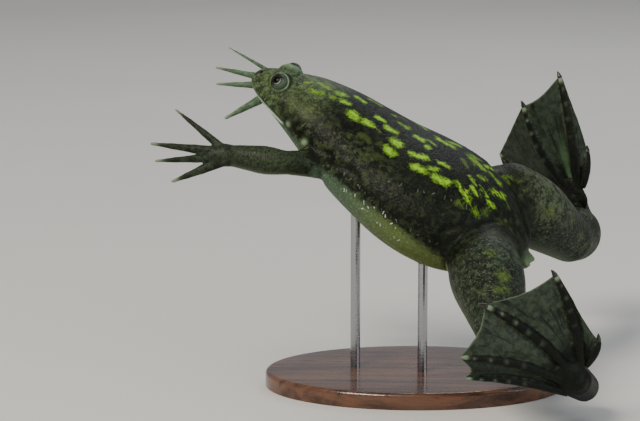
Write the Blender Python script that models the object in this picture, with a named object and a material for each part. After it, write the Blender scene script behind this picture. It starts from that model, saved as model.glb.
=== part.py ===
# An adult african clawed frog swimming, life size, held by a plain display stand.
# The frog is laid out in its own axes in millimetres: x runs from the vent to the snout,
# y towards its left side and z out through its back. The pose then turns it into the scene.

import bpy
import bmesh
import numpy as np
from mathutils import Vector
from mathutils.bvhtree import BVHTree

MM = 0.001

# Pose: where the vent is before the whole is centred, and the frog's own axes in the scene.
VENT = np.array((61.5, -9.0, 44.2))
FORWARD = np.array((-0.8425, 0.2436, 0.4804))
LEFT = np.array((-0.3961, -0.8846, -0.2463))
UP = np.cross(FORWARD, LEFT)
SIDES = {"left": 1.0, "right": -1.0}

# Gap between neighbouring pieces, and the distance in metres at which points become one.
GAP = 0.3
WELD = 0.000002

# Trunk: distance from the vent, half width, height of the back, depth of the belly,
# and the height of its widest line, which rises to the edge of the upper jaw.
TRUNK_STATIONS = (
    (-0.5, 2.0, 2.0, -3.0, 0.0),
    (1.0, 6.0, 4.6, -5.6, 0.0),
    (4.0, 11.0, 7.2, -8.2, 0.0),
    (10.0, 17.0, 10.8, -12.0, 0.0),
    (18.0, 22.0, 12.9, -15.0, 0.0),
    (28.0, 24.6, 13.8, -16.5, 0.0),
    (38.0, 24.6, 13.6, -16.3, 0.0),
    (50.0, 22.4, 12.9, -14.0, 0.0),
    (60.0, 20.2, 13.4, -10.9, 0.1),
    (68.0, 17.7, 13.9, -7.8, 0.8),
    (76.0, 14.7, 13.3, -4.8, 2.1),
    (84.0, 11.3, 11.6, -2.3, 3.1),
    (90.0, 8.6, 9.8, -0.7, 3.5),
    (93.8, 6.5, 8.6, 0.4, 3.6),
    (96.6, 4.5, 7.2, 1.3, 3.7),
    (98.0, 2.8, 5.9, 2.1, 3.7),
    (98.6, 1.2, 4.8, 2.8, 3.7),
)
TRUNK_SIDES = 28
TRUNK_RINGS = 36
FLANK_POWER = 0.92
BACK_POWER = 0.95
BELLY_POWER = 0.85
NECK_X = 72.0
NECK_LEAN = 0.15

# Mouth: the line between the lips, and how far back the corner of the jaw is.
MOUTH_Z = 2.4
MOUTH_CORNER_X = 83.0
LIP_SLANT = 0.0

# Eyes look up and out of a low mound of skin.
EYE = np.array((89.0, 5.1, 9.1))
EYE_RADIUS = 2.6
MOUND = np.array((88.9, 4.7, 7.7))
MOUND_RADIUS = 3.5
NOSTRIL = np.array((96.4, 1.7, 7.0))
NOSTRIL_RADIUS = 0.55

# Folds of skin round the vent: centre and radii.
VENT_FOLDS = (
    ((-1.6, 2.0, -2.2), (2.6, 1.5, 1.3)),
    ((-1.6, -2.0, -2.2), (2.6, 1.5, 1.3)),
    ((-1.2, 0.0, -4.4), (2.2, 1.7, 1.2)),
)

# Rounded ends of a limb: how far from its pole each ring is, and the reach of the end over its radius.
END_BENDS = np.array((0.05, 0.45, 0.8))
END_REACH = 0.8

# Front limbs: joints and the radii along them.
SHOULDER = {"left": (65.0, 13.5, -2.5), "right": (63.5, -13.5, -4.0)}
ELBOW = {"left": (73.0, 26.5, -1.0), "right": (77.0, -24.0, -11.0)}
WRIST = {"left": (86.5, 28.9, -6.3), "right": (91.3, -20.0, -4.2)}
UPPER_ARM_RADII = (4.6, 4.0, 3.5)
FOREARM_RADII = (3.7, 4.1, 3.5)
FINGER_TIPS = {
    "left": ((109.6, 27.0, -4.5), (109.5, 37.7, -12.4), (105.0, 42.0, -14.0), (98.5, 39.4, -18.9)),
    "right": ((113.7, -15.0, -1.5), (113.7, -11.7, -8.2), (111.0, -10.5, -12.5), (103.4, -8.2, -20.3)),
}
FINGER_RADII = (1.6, 1.25, 0.85, 0.38)
FINGER_GIRTHS = {"left": (0.85, 1.1, 1.0, 1.1), "right": (0.52, 0.9, 0.95, 1.15)}
FINGER_START = 4.5
FINGER_SPACING = 1.5
FINGER_BOW = 0.6
PALM_RADII = (3.3, 3.5, 2.6)
PALM_PLACES = (0.0, 3.0, 6.5)
PALM_FLATNESS = 0.75

# Hind limbs: joints and the radii along them.
HIP = {"left": (10.5, 12.5, -0.5), "right": (14.1, -17.5, 3.9)}
KNEE = {"left": (-8.0, 44.5, 1.5), "right": (-6.7, -44.5, -14.6)}
ANKLE = {"left": (-37.0, 25.0, -14.0), "right": (-5.0, -79.0, -27.0)}
FOOT_ROOT = {"left": (-34.5, 41.0, -3.0), "right": (0.0, -67.5, -13.5)}
THIGH_RADII = (10.0, 10.7, 9.4, 7.6)
SHANK_RADII = (7.0, 8.3, 6.6, 4.4)
TARSUS_RADII = (4.0, 3.5, 3.4)
SOLE_RADII = (3.8, 4.7, 4.0)
SOLE_PLACES = (-2.0, 2.0, 5.5)
SOLE_FLATNESS = 0.42

# Toes from the first, clawed and short, to the fifth.
TOE_TIPS = {
    "left": (
        (-33.7, 34.8, 8.6),
        (-14.3, 40.7, 23.2),
        (-2.8, 56.7, 12.6),
        (-4.5, 65.7, -0.3),
        (-8.4, 64.2, -6.5),
    ),
    "right": (
        (4.5, -72.8, 0.7),
        (24.3, -77.4, 16.3),
        (29.6, -71.4, 3.6),
        (30.0, -78.0, -20.0),
        (22.0, -81.0, -33.0),
    ),
}
TOE_BOWS = {"left": (0.5, 1.5, 2.0, 2.4, 1.5), "right": (0.5, 1.2, -2.6, -1.5, -1.0)}
TOE_SPACING = 2.3
TOE_GIRTHS = (0.8, 1.0, 1.0, 0.9, 0.72)

# Radius of a toe of full girth at places along it.
TOE_PLACES = (0.0, 0.12, 0.35, 0.9, 1.0)
TOE_RADII = (1.1, 1.5, 1.85, 1.05, 0.75)
TOE_COLUMNS = (-1.0, -0.6, 0.0, 0.6, 1.0)
WEB_COLUMNS = (0.25, 0.5, 0.75)
WEB_HALF_THICKNESS = 0.3
WEB_NOTCHES = {"left": (0.22, 0.035, 0.03, 0.05), "right": (-0.05, 0.035, 0.02, 0.1)}
WEB_SKEWS = (1.6, 1.0, 1.0, 1.0)
FOOT_ROWS = 15
CLAWED_TOES = 3
CLAW_LENGTH = 1.7

# Rings of a claw: how far along it, radius, and droop towards the sole.
CLAW_RINGS = ((0.0, 0.75, 0.0), (0.45, 0.55, 0.06), (0.8, 0.3, 0.2), (1.0, 0.12, 0.32))

# Stand: a flat oval base and two rods with small cupped rests under the belly.
BASE_HALF_LENGTH = 46.0
BASE_HALF_WIDTH = 32.0
BASE_THICKNESS = 5.0

# Rings of the base: how far in from its edge, and how far below its top.
BASE_RINGS = ((0.0, BASE_THICKNESS), (0.0, 1.2), (0.35, 0.35), (1.2, 0.0))
ROD_RADIUS = 1.5
REST_RADIUS = 3.4
REST_HEIGHT = 3.2
REST_FLARE = 1.4
STAND_SPOT = (34.0, 0.0, -10.0)
ROD_SPOTS = {"front": (57.0, 1.0, -6.0), "rear": (31.0, 3.0, -8.0)}

# Colours of the pieces, as linear red, green and blue, with their roughness.
SKIN_DARK = ("skin_back", (0.045, 0.047, 0.030), 0.38)
SKIN_LIMB = ("skin_limb", (0.060, 0.062, 0.042), 0.40)
SKIN_PALE = ("skin_jaw", (0.230, 0.250, 0.170), 0.42)
WEB_SKIN = ("skin_foot", (0.045, 0.052, 0.042), 0.40)
HAND_SKIN = ("skin_hand", (0.130, 0.140, 0.100), 0.42)
EYE_GLOSS = ("eye", (0.030, 0.030, 0.022), 0.08)
CLAW_HORN = ("claw_horn", (0.012, 0.010, 0.008), 0.30)
BASE_WOOD = ("base_wood", (0.060, 0.030, 0.016), 0.45)
ROD_STEEL = ("rod_steel", (0.420, 0.420, 0.430), 0.30)


def clear_scene():
    for obj in list(bpy.data.objects):
        bpy.data.objects.remove(obj, do_unlink=True)


def collection(name, shown):
    made = bpy.data.collections.new(name)
    made.hide_render = not shown
    bpy.context.scene.collection.children.link(made)
    return made


def material(spec, metallic=0.0):
    name, colour, roughness = spec
    made = bpy.data.materials.get(name)
    if made is None:
        made = bpy.data.materials.new(name)
        made.use_nodes = True
        shader = made.node_tree.nodes["Principled BSDF"]
        shader.inputs["Base Color"].default_value = (*colour, 1.0)
        shader.inputs["Roughness"].default_value = roughness
        shader.inputs["Metallic"].default_value = metallic
        made.diffuse_color = (*colour, 1.0)
    return made


def posed(points):
    """Turns points in the frog's axes into the scene, still in millimetres."""
    points = np.atleast_2d(np.asarray(points, float))
    return VENT + points[:, :1] * FORWARD + points[:, 1:2] * LEFT + points[:, 2:3] * UP


def mesh_object(name, points, faces, spec, home, metallic=0.0):
    mesh = bpy.data.meshes.new(name)
    mesh.from_pydata((np.asarray(points) * MM).tolist(), [], faces)
    work = bmesh.new()
    work.from_mesh(mesh)
    bmesh.ops.recalc_face_normals(work, faces=work.faces)
    if work.calc_volume(signed=True) < 0:
        bmesh.ops.reverse_faces(work, faces=work.faces)
    work.to_mesh(mesh)
    work.free()
    mesh.shade_smooth()
    mesh.materials.append(material(spec, metallic))
    obj = bpy.data.objects.new(name, mesh)
    home.objects.link(obj)
    return obj


def helper(name, points, faces):
    """A closed shape that only cuts or joins others."""
    obj = mesh_object(name, points, faces, SKIN_DARK, helpers)
    obj.hide_render = True
    obj.display_type = "WIRE"
    return obj


def ring_faces(rings, sides):
    """Quads between rings of points, and one flat cap at each end."""
    faces = []
    for ring in range(rings - 1):
        for side in range(sides):
            after = (side + 1) % sides
            low = ring * sides
            high = low + sides
            faces.append((low + side, low + after, high + after, high + side))
    faces.append(tuple(range(sides))[::-1])
    faces.append(tuple(range((rings - 1) * sides, rings * sides)))
    return faces


def smooth_values(knots, values, at):
    """Values at the given places on a smooth curve through the knots."""
    slopes = np.gradient(values, knots, axis=0)
    left = np.clip(np.searchsorted(knots, at) - 1, 0, len(knots) - 2)
    width = knots[left + 1] - knots[left]
    part = (at - knots[left]) / width
    if values.ndim == 2:
        width = width[:, None]
        part = part[:, None]
    start = (2 * part**3 - 3 * part**2 + 1) * values[left]
    leave = (part**3 - 2 * part**2 + part) * width * slopes[left]
    end = (3 * part**2 - 2 * part**3) * values[left + 1]
    arrive = (part**3 - part**2) * width * slopes[left + 1]
    return start + leave + end + arrive


def unit(vectors):
    return vectors / np.linalg.norm(vectors, axis=-1, keepdims=True)


def trunk_points():
    """Rings of the trunk, a flattened oval that is rounder below than above."""
    stations = np.array(TRUNK_STATIONS)
    places = stations[0, 0] + (stations[-1, 0] - stations[0, 0]) * np.linspace(0, 1, TRUNK_RINGS)
    half, top, bottom, edge = (smooth_values(stations[:, 0], stations[:, k], places) for k in (1, 2, 3, 4))
    turn = 2 * np.pi * np.arange(TRUNK_SIDES) / TRUNK_SIDES
    across = np.sign(np.cos(turn)) * np.abs(np.cos(turn)) ** FLANK_POWER
    above = np.clip(np.sin(turn), 0, 1) ** BACK_POWER
    below = np.clip(-np.sin(turn), 0, 1) ** BELLY_POWER
    y = np.outer(half, across)
    z = edge[:, None] + np.outer(top - edge, above) + np.outer(bottom - edge, below)
    x = np.repeat(places[:, None], TRUNK_SIDES, 1)
    return np.stack((x, y, z), -1).reshape(-1, 3)


def tube_points(path, radii, sides, steps, flat=1.0, across=None):
    """Rings of a limb along a path, rounded at both ends; flat squeezes it along its own normal."""
    path = np.asarray(path, float)
    lengths = np.r_[0, np.cumsum(np.linalg.norm(np.diff(path, axis=0), axis=1))]
    at = np.linspace(0, lengths[-1], steps)
    centre = smooth_values(lengths, path, at)
    spread = np.interp(at, np.linspace(0, lengths[-1], len(radii)), radii)
    tangent = unit(np.gradient(centre, axis=0))
    guide = np.array((0.0, 0.0, 1.0)) if across is None else across
    side = unit(np.cross(tangent, np.cross(guide, tangent)))
    normal = np.cross(tangent, side)
    rounding = np.sqrt(1 - (1 - END_BENDS) ** 2)
    ahead = (1 - END_BENDS)[:, None] * END_REACH
    first = centre[0] - tangent[0] * ahead * spread[0]
    last = (centre[-1] + tangent[-1] * ahead * spread[-1])[::-1]
    centre = np.vstack((first, centre, last))
    spread = np.r_[spread[0] * rounding, spread, spread[-1] * rounding[::-1]]
    side = np.vstack(([side[0]] * 3, side, [side[-1]] * 3))
    normal = np.vstack(([normal[0]] * 3, normal, [normal[-1]] * 3))
    turn = 2 * np.pi * np.arange(sides) / sides
    rim = side[:, None] * np.cos(turn)[:, None] + normal[:, None] * np.sin(turn)[:, None] * flat
    points = centre[:, None] + rim * spread[:, None, None]
    return points.reshape(-1, 3), ring_faces(len(centre), sides)


def ball_points(centre, radii, sides=16, rings=9):
    """A closed ball or egg with its poles along z."""
    tilt = np.linspace(0, np.pi, rings + 2)[1:-1]
    turn = 2 * np.pi * np.arange(sides) / sides
    rim = np.stack((np.cos(turn), np.sin(turn)), -1)
    points = np.concatenate(
        (
            np.sin(tilt)[:, None, None] * rim[None],
            np.repeat(np.cos(tilt)[:, None, None], sides, 1),
        ),
        -1,
    ).reshape(-1, 3)
    points = np.vstack((points, (0, 0, 1), (0, 0, -1)))
    faces = ring_faces(rings, sides)[:-2]
    top = len(points) - 2
    start = (rings - 1) * sides
    for side in range(sides):
        after = (side + 1) % sides
        faces.append((top, after, side))
        faces.append((top + 1, start + side, start + after))
    return np.asarray(centre) + points * np.asarray(radii), faces


def apply_modifiers(obj):
    graph = bpy.context.evaluated_depsgraph_get()
    mesh = bpy.data.meshes.new_from_object(obj.evaluated_get(graph))
    obj.modifiers.clear()
    obj.data = mesh


def combine(obj, others, operation):
    """Joins or cuts with closed helpers, which are then removed."""
    group = bpy.data.collections.new("cutters")
    helpers.children.link(group)
    for other in others:
        group.objects.link(other)
    step = obj.modifiers.new("combine", "BOOLEAN")
    step.operation = operation
    step.operand_type = "COLLECTION"
    step.collection = group
    step.solver = "MANIFOLD"
    apply_modifiers(obj)
    for other in others:
        bpy.data.objects.remove(other, do_unlink=True)
    bpy.data.collections.remove(group)
    keep_largest(obj)


def keep_largest(obj):
    """Leaves only the largest closed surface of the mesh."""
    work = bmesh.new()
    work.from_mesh(obj.data)
    bmesh.ops.remove_doubles(work, verts=work.verts, dist=WELD)
    left = set(work.faces)
    best = []
    while left:
        stack = [left.pop()]
        found = list(stack)
        while stack:
            face = stack.pop()
            for edge in face.edges:
                for other in edge.link_faces:
                    if other in left:
                        left.remove(other)
                        stack.append(other)
                        found.append(other)
        if len(found) > len(best):
            best = found
    keep = set(best)
    bmesh.ops.delete(work, geom=[face for face in work.faces if face not in keep], context="FACES")
    bmesh.ops.triangulate(work, faces=[face for face in work.faces if len(face.verts) > 4])
    work.to_mesh(obj.data)
    work.free()


def swollen(obj, amount):
    """A helper copy of a piece, pushed out by the gap."""
    copy = obj.copy()
    copy.data = obj.data.copy()
    copy.name = obj.name + "_swollen"
    helpers.objects.link(copy)
    copy.hide_render = True
    copy.display_type = "WIRE"
    step = copy.modifiers.new("swell", "DISPLACE")
    step.strength = amount * MM
    step.mid_level = 0.0
    apply_modifiers(copy)
    return copy


def box_points(low, high):
    corners = [(x, y, z) for x in (low[0], high[0]) for y in (low[1], high[1]) for z in (low[2], high[2])]
    faces = [(0, 1, 3, 2), (4, 6, 7, 5), (0, 4, 5, 1), (2, 3, 7, 6), (0, 2, 6, 4), (1, 5, 7, 3)]
    return np.array(corners), faces


def leaning_box(low, high):
    """A box sheared so that its height follows the slant of the lips."""
    points, faces = box_points(low, high)
    points[:, 2] += LIP_SLANT * (points[:, 0] - MOUTH_CORNER_X)
    return points, faces


def build_trunk():
    """The head, the lower jaw and the rest of the trunk, cut from one closed form."""
    faces = ring_faces(TRUNK_RINGS, TRUNK_SIDES)
    whole = mesh_object("torso", posed(trunk_points()), faces, SKIN_DARK, frog)
    added = []
    for name, sign in SIDES.items():
        mirror = np.array((1, sign, 1))
        points, ball = ball_points(MOUND * mirror, (MOUND_RADIUS,) * 3)
        added.append(helper("mound_" + name, posed(points), ball))
    for number, (centre, radii) in enumerate(VENT_FOLDS):
        points, ball = ball_points(centre, radii, 12, 7)
        added.append(helper("fold_%d" % number, posed(points), ball))
    combine(whole, added, "UNION")

    head = whole.copy()
    head.data = whole.data.copy()
    head.name = "head"
    frog.objects.link(head)
    reach = 60.0
    points, box = box_points((NECK_X - GAP / 2, -reach, -reach), (NECK_X + 2 * reach, reach, reach))
    points[:, 0] += np.where(points[:, 0] < NECK_X + reach, NECK_LEAN * points[:, 2], 0)
    combine(whole, [helper("ahead", posed(points), box)], "DIFFERENCE")
    points, box = box_points((NECK_X - 3 * reach, -reach, -reach), (NECK_X + GAP / 2, reach, reach))
    points[:, 0] += np.where(points[:, 0] > NECK_X - reach, NECK_LEAN * points[:, 2], 0)
    combine(head, [helper("behind", posed(points), box)], "DIFFERENCE")

    jaw = head.copy()
    jaw.data = head.data.copy()
    jaw.name = "lower_jaw"
    jaw.data.materials.clear()
    jaw.data.materials.append(material(SKIN_PALE))
    frog.objects.link(jaw)
    corner = MOUTH_CORNER_X
    points, box = leaning_box((corner, -reach, -reach), (reach * 2, reach, MOUTH_Z + GAP / 2))
    combine(head, [helper("under", posed(points), box)], "DIFFERENCE")
    above = leaning_box((0, -reach, MOUTH_Z - GAP / 2), (reach * 2, reach, reach))
    parts = [above, box_points((0, -reach, -reach), (corner + GAP, reach, reach))]
    combine(jaw, [helper("over", posed(points), box) for points, box in parts], "DIFFERENCE")

    cuts = []
    for name, sign in SIDES.items():
        mirror = np.array((1, sign, 1))
        points, ball = ball_points(EYE * mirror, (EYE_RADIUS + GAP,) * 3, 18, 9)
        cuts.append(helper("socket_" + name, posed(points), ball))
        points, ball = ball_points(NOSTRIL * mirror, (NOSTRIL_RADIUS,) * 3, 8, 5)
        cuts.append(helper("nostril_" + name, posed(points), ball))
        points, ball = ball_points(EYE * mirror, (EYE_RADIUS,) * 3, 18, 9)
        mesh_object("eye_" + name, posed(points), ball, EYE_GLOSS, frog)
    combine(head, cuts, "DIFFERENCE")
    return whole


def limb_piece(name, path, radii, sides, steps, parents, spec=SKIN_LIMB):
    """One part of a limb, cut clear of the pieces that it grows from."""
    points, faces = tube_points(path, radii, sides, steps)
    made = mesh_object(name, posed(points), faces, spec, frog)
    if parents:
        combine(made, [swollen(parent, GAP) for parent in parents], "DIFFERENCE")
    return made


def toe_frames(name):
    """Start, control and end points of the five toes, from the first to the fifth."""
    root = np.array(FOOT_ROOT[name])
    tips = np.array(TOE_TIPS[name])
    reach = np.linalg.norm(tips - root, axis=1)
    ahead = unit((tips[1:] - root).mean(0))
    across = tips[1] - tips[4]
    across = unit(across - ahead * (across @ ahead))
    starts = root + across * (2 - np.arange(5))[:, None] * TOE_SPACING
    own = unit(tips - starts)
    side = unit(across - own * (own @ across)[:, None])
    middle = starts + own * (reach * 0.5)[:, None] + side * 2 * np.array(TOE_BOWS[name])[:, None]
    return starts, middle, tips, across


def toe_at(name_frames, toe, part):
    """Points on a toe, where part runs from 0 at its root to 1 at its tip."""
    starts, middle, tips, _ = name_frames
    part = np.asarray(part, float)[:, None]
    return starts[toe] * (1 - part) ** 2 + middle[toe] * 2 * part * (1 - part) + tips[toe] * part**2


def toe_radius(toe, part):
    return TOE_GIRTHS[toe] * np.interp(part, TOE_PLACES, TOE_RADII)


def web_grid(name):
    """Centre points, normals and half thickness of the webbed toes, one column at a time."""
    frames = toe_frames(name)
    rows = np.linspace(0, 1, FOOT_ROWS + 1)

    def edge(toe, offset, part):
        here = toe_at(frames, toe, part)
        tangent = unit(toe_at(frames, toe, part + 0.01) - toe_at(frames, toe, part - 0.01))
        lower = toe_at(frames, max(toe - 1, 0), part)
        upper = toe_at(frames, min(toe + 1, 4), part)
        side = lower - upper
        side = unit(side - tangent * (side * tangent).sum(1)[:, None])
        normal = np.cross(tangent, side)
        return here - side * offset * toe_radius(toe, part)[:, None], normal

    columns, normals, depths = [], [], []
    for toe in range(5):
        for offset in TOE_COLUMNS:
            here, normal = edge(toe, offset, rows)
            depth = toe_radius(toe, rows) * np.sqrt(1 - offset**2)
            columns.append(here)
            normals.append(normal)
            depths.append(np.maximum(depth, WEB_HALF_THICKNESS))
        if toe == 4:
            continue
        for part in WEB_COLUMNS:
            reach = rows * (1 - WEB_NOTCHES[name][toe] * np.sin(np.pi * part ** WEB_SKEWS[toe]))
            near, near_normal = edge(toe, 1.0, reach)
            far, far_normal = edge(toe + 1, -1.0, reach)
            columns.append(near * (1 - part) + far * part)
            normals.append(unit(near_normal * (1 - part) + far_normal * part))
            depths.append(np.full(len(rows), WEB_HALF_THICKNESS))
    return np.array(columns), np.array(normals), np.array(depths), frames


def sheet_faces(columns, rows):
    """Two grids back to back, triangulated alike, with a rim round them."""
    faces = []
    under = columns * rows
    for column in range(columns - 1):
        for row in range(rows - 1):
            a = column * rows + row
            b = a + rows
            faces += [(a, b, b + 1), (a, b + 1, a + 1)]
            faces += [(a + under, b + 1 + under, b + under), (a + under, a + 1 + under, b + 1 + under)]
    rim = [column * rows for column in range(columns)]
    rim += [(columns - 1) * rows + row for row in range(1, rows)]
    rim += [column * rows + rows - 1 for column in range(columns - 2, -1, -1)]
    rim += [row for row in range(rows - 2, 0, -1)]
    for here, after in zip(rim, rim[1:] + rim[:1]):
        faces.append((here, here + under, after + under, after))
    return faces


def build_foot(name, parents):
    grid, normals, depths, frames = web_grid(name)
    columns, rows = depths.shape
    over = (grid + normals * depths[..., None]).reshape(-1, 3)
    below = (grid - normals * depths[..., None]).reshape(-1, 3)
    faces = sheet_faces(columns, rows)
    foot = mesh_object("foot_" + name, posed(np.vstack((over, below))), faces, WEB_SKIN, frog)
    root = np.array(FOOT_ROOT[name])
    ahead = unit((frames[2][1:] - root).mean(0))
    path = [root + ahead * place for place in SOLE_PLACES]
    sole, tube = tube_points(path, SOLE_RADII, 14, 5, SOLE_FLATNESS, frames[3])
    combine(foot, [helper("sole", posed(sole), tube)], "UNION")
    combine(foot, [swollen(parent, GAP) for parent in parents], "DIFFERENCE")
    for toe in range(CLAWED_TOES):
        build_claw(name, toe, frames)
    return foot


def build_claw(name, toe, frames):
    """A short dark horny cone that caps one of the three inner toes."""
    tip, before = toe_at(frames, toe, (1.0, 0.97))
    ahead = unit(tip - before)
    side = unit(np.cross(ahead, (0.0, 0.0, 1.0)))
    lift = np.cross(side, ahead)
    turn = 2 * np.pi * np.arange(8) / 8
    rim = side * np.cos(turn)[:, None] + lift * np.sin(turn)[:, None]
    rings = []
    for along, radius, droop in CLAW_RINGS:
        centre = tip + ahead * (GAP + along * CLAW_LENGTH) - lift * droop
        rings.append(centre + rim * radius)
    points = np.concatenate(rings)
    mesh_object("claw_%s_%d" % (name, toe + 1), posed(points), ring_faces(4, 8), CLAW_HORN, frog)


def build_hand(name, parents):
    wrist = np.array(WRIST[name])
    tips = np.array(FINGER_TIPS[name])
    ahead = unit((tips - wrist).mean(0))
    across = tips[0] - tips[3]
    across = unit(across - ahead * (across @ ahead))
    path = [wrist + ahead * place for place in PALM_PLACES]
    points, faces = tube_points(path, PALM_RADII, 12, 4, PALM_FLATNESS, across)
    hand = mesh_object("hand_" + name, posed(points), faces, HAND_SKIN, frog)
    fingers = []
    for number, tip in enumerate(tips):
        start = wrist + ahead * FINGER_START + across * (1.5 - number) * FINGER_SPACING
        middle = start * 0.5 + tip * 0.5 + unit(tip - start - ahead * 3) * FINGER_BOW
        radii = np.array(FINGER_RADII) * FINGER_GIRTHS[name][number]
        points, tube = tube_points((start, middle, tip), radii, 8, 7)
        fingers.append(helper("finger", posed(points), tube))
    combine(hand, fingers, "UNION")
    combine(hand, [swollen(parent, GAP) for parent in parents], "DIFFERENCE")
    return hand


def build_limbs(torso):
    for name in SIDES:
        shoulder, elbow, wrist = (np.array(place[name]) for place in (SHOULDER, ELBOW, WRIST))
        path = (shoulder, shoulder * 0.5 + elbow * 0.5, elbow)
        upper = limb_piece("upper_arm_" + name, path, UPPER_ARM_RADII, 14, 7, [torso])
        path = (elbow, elbow * 0.5 + wrist * 0.5, wrist)
        fore = limb_piece("forearm_" + name, path, FOREARM_RADII, 14, 7, [upper])
        build_hand(name, [fore])
        hip, knee, ankle = (np.array(place[name]) for place in (HIP, KNEE, ANKLE))
        path = (hip, hip * 0.5 + knee * 0.5, knee)
        thigh = limb_piece("thigh_" + name, path, THIGH_RADII, 18, 9, [torso])
        path = (knee, knee * 0.5 + ankle * 0.5, ankle)
        shank = limb_piece("shank_" + name, path, SHANK_RADII, 16, 9, [thigh])
        root = np.array(FOOT_ROOT[name])
        path = (ankle, ankle * 0.5 + root * 0.5, root)
        tarsus = limb_piece("tarsus_" + name, path, TARSUS_RADII, 14, 6, [shank])
        build_foot(name, [shank, tarsus])


def oval(half_length, half_width, sides):
    turn = 2 * np.pi * np.arange(sides) / sides
    return np.stack((half_length * np.cos(turn), half_width * np.sin(turn)), -1)


def build_stand(torso):
    """A flat oval base with eased edges, and two upright rods that end in cupped rests."""
    sides = 40
    rings = []
    for inset, drop in BASE_RINGS:
        rim = oval(BASE_HALF_LENGTH - inset, BASE_HALF_WIDTH - inset, sides)
        rings.append(np.column_stack((rim + stand_centre, np.full(sides, BASE_THICKNESS - drop))))
    mesh_object("stand_base", np.concatenate(rings), ring_faces(len(rings), sides), BASE_WOOD, frog)
    belly = BVHTree.FromObject(torso, bpy.context.evaluated_depsgraph_get())
    for name, spot in ROD_SPOTS.items():
        top = posed(spot)[0]
        found = belly.ray_cast(Vector((top[0] * MM, top[1] * MM, 0.0)), Vector((0.0, 0.0, 1.0)))
        sides = 16
        rest = found[0].z / MM - REST_HEIGHT
        rings = []
        profile = (
            (ROD_RADIUS, BASE_THICKNESS),
            (ROD_RADIUS, rest),
            (REST_RADIUS, rest + REST_FLARE),
            (REST_RADIUS, top[2]),
        )
        for radius, height in profile:
            rim = oval(radius, radius, sides) + top[:2]
            rings.append(np.column_stack((rim, np.full(sides, height))))
        faces = ring_faces(len(rings), sides)
        rod = mesh_object("stand_rod_" + name, np.concatenate(rings), faces, ROD_STEEL, frog, 1.0)
        combine(rod, [swollen(torso, GAP)], "DIFFERENCE")


def centre_on_floor():
    """Moves everything so that the middle of the whole bounding box stands over the origin."""
    bpy.context.view_layer.update()
    points = []
    for obj in frog.objects:
        found = np.empty(len(obj.data.vertices) * 3)
        obj.data.vertices.foreach_get("co", found)
        points.append(found.reshape(-1, 3))
    every = np.vstack(points)
    low = every.min(0)
    shift = -(low + every.max(0)) / 2
    shift[2] = -low[2]
    for obj, found in zip(frog.objects, points):
        obj.data.vertices.foreach_set("co", (found + shift).ravel())
        obj.data.update()


clear_scene()
frog = collection("clawed_frog", True)
helpers = collection("helpers", False)
stand_centre = posed(STAND_SPOT)[0][:2]
torso = build_trunk()
build_limbs(torso)
build_stand(torso)
centre_on_floor()
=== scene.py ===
import math

import bmesh
import bpy
import numpy as np
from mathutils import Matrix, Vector
from mathutils.bvhtree import BVHTree


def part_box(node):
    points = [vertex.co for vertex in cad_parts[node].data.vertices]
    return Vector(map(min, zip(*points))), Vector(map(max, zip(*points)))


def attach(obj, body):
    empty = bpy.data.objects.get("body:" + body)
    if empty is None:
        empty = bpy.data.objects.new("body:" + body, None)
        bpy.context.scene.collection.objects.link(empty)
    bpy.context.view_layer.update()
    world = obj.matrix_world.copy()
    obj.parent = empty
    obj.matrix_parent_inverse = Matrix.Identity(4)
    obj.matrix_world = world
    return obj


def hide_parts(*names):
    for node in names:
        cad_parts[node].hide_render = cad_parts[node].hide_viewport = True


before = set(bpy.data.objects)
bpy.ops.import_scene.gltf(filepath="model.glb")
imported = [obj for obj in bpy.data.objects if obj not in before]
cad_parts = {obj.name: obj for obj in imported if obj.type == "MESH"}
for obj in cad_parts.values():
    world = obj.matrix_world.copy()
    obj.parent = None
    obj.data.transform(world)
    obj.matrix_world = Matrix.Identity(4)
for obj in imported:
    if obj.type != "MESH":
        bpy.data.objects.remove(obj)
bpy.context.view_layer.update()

mm = 0.001
dice = np.random.default_rng(11)

# The frog's own axes, in millimetres: x from vent to snout, y to its left, z out of its back.
pose = {
    "vent": np.array((61.5, -9.0, 44.2)),
    "forward": np.array((-0.8425, 0.2436, 0.4804)),
    "left": np.array((-0.3961, -0.8846, -0.2463)),
    "standSpot": np.array((34.0, 0.0, -10.0)),
}
pose["up"] = np.cross(pose["forward"], pose["left"])
axes = np.array((pose["forward"], pose["left"], pose["up"]))
baseBox = np.array(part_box("stand_base")) / mm
shift = np.zeros(3)
shift[:2] = baseBox.mean(0)[:2] - (pose["vent"] + pose["standSpot"] @ axes)[:2]


def toScene(points):
    # metres in the scene = (vent + shift + x forward + y left + z up) / 1000
    return (np.asarray(points, float) @ axes + pose["vent"] + shift) * mm


def toFrog(points):
    # the way back, in millimetres
    return (np.asarray(points, float) / mm - pose["vent"] - shift) @ axes.T


def unit(rows):
    return rows / np.maximum(np.linalg.norm(rows, axis=-1, keepdims=True), 1e-9)


def bell(values, middle, width):
    # 1 at the middle, falling off as e to the power of minus ((value - middle) / width)^2
    return np.exp(-((values - middle) / width) ** 2)


def distance(points, spot):
    return np.linalg.norm(points - np.asarray(spot), axis=1)


def nearestOn(points, a, b):
    # share of the way from a to b that is nearest to each point, and the distance from the point to it
    a, b = np.asarray(a, float), np.asarray(b, float)
    t = np.clip((points - a) @ (b - a) / ((b - a) @ (b - a)), 0, 1)
    return t, np.linalg.norm(points - a - t[:, None] * (b - a), axis=1)


def ramp(values, low, high):
    # smooth step: 0 below low, 1 above high, 3t^2 - 2t^3 between
    t = np.clip((values - low) / (high - low), 0, 1)
    return t * t * (3 - 2 * t)


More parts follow.
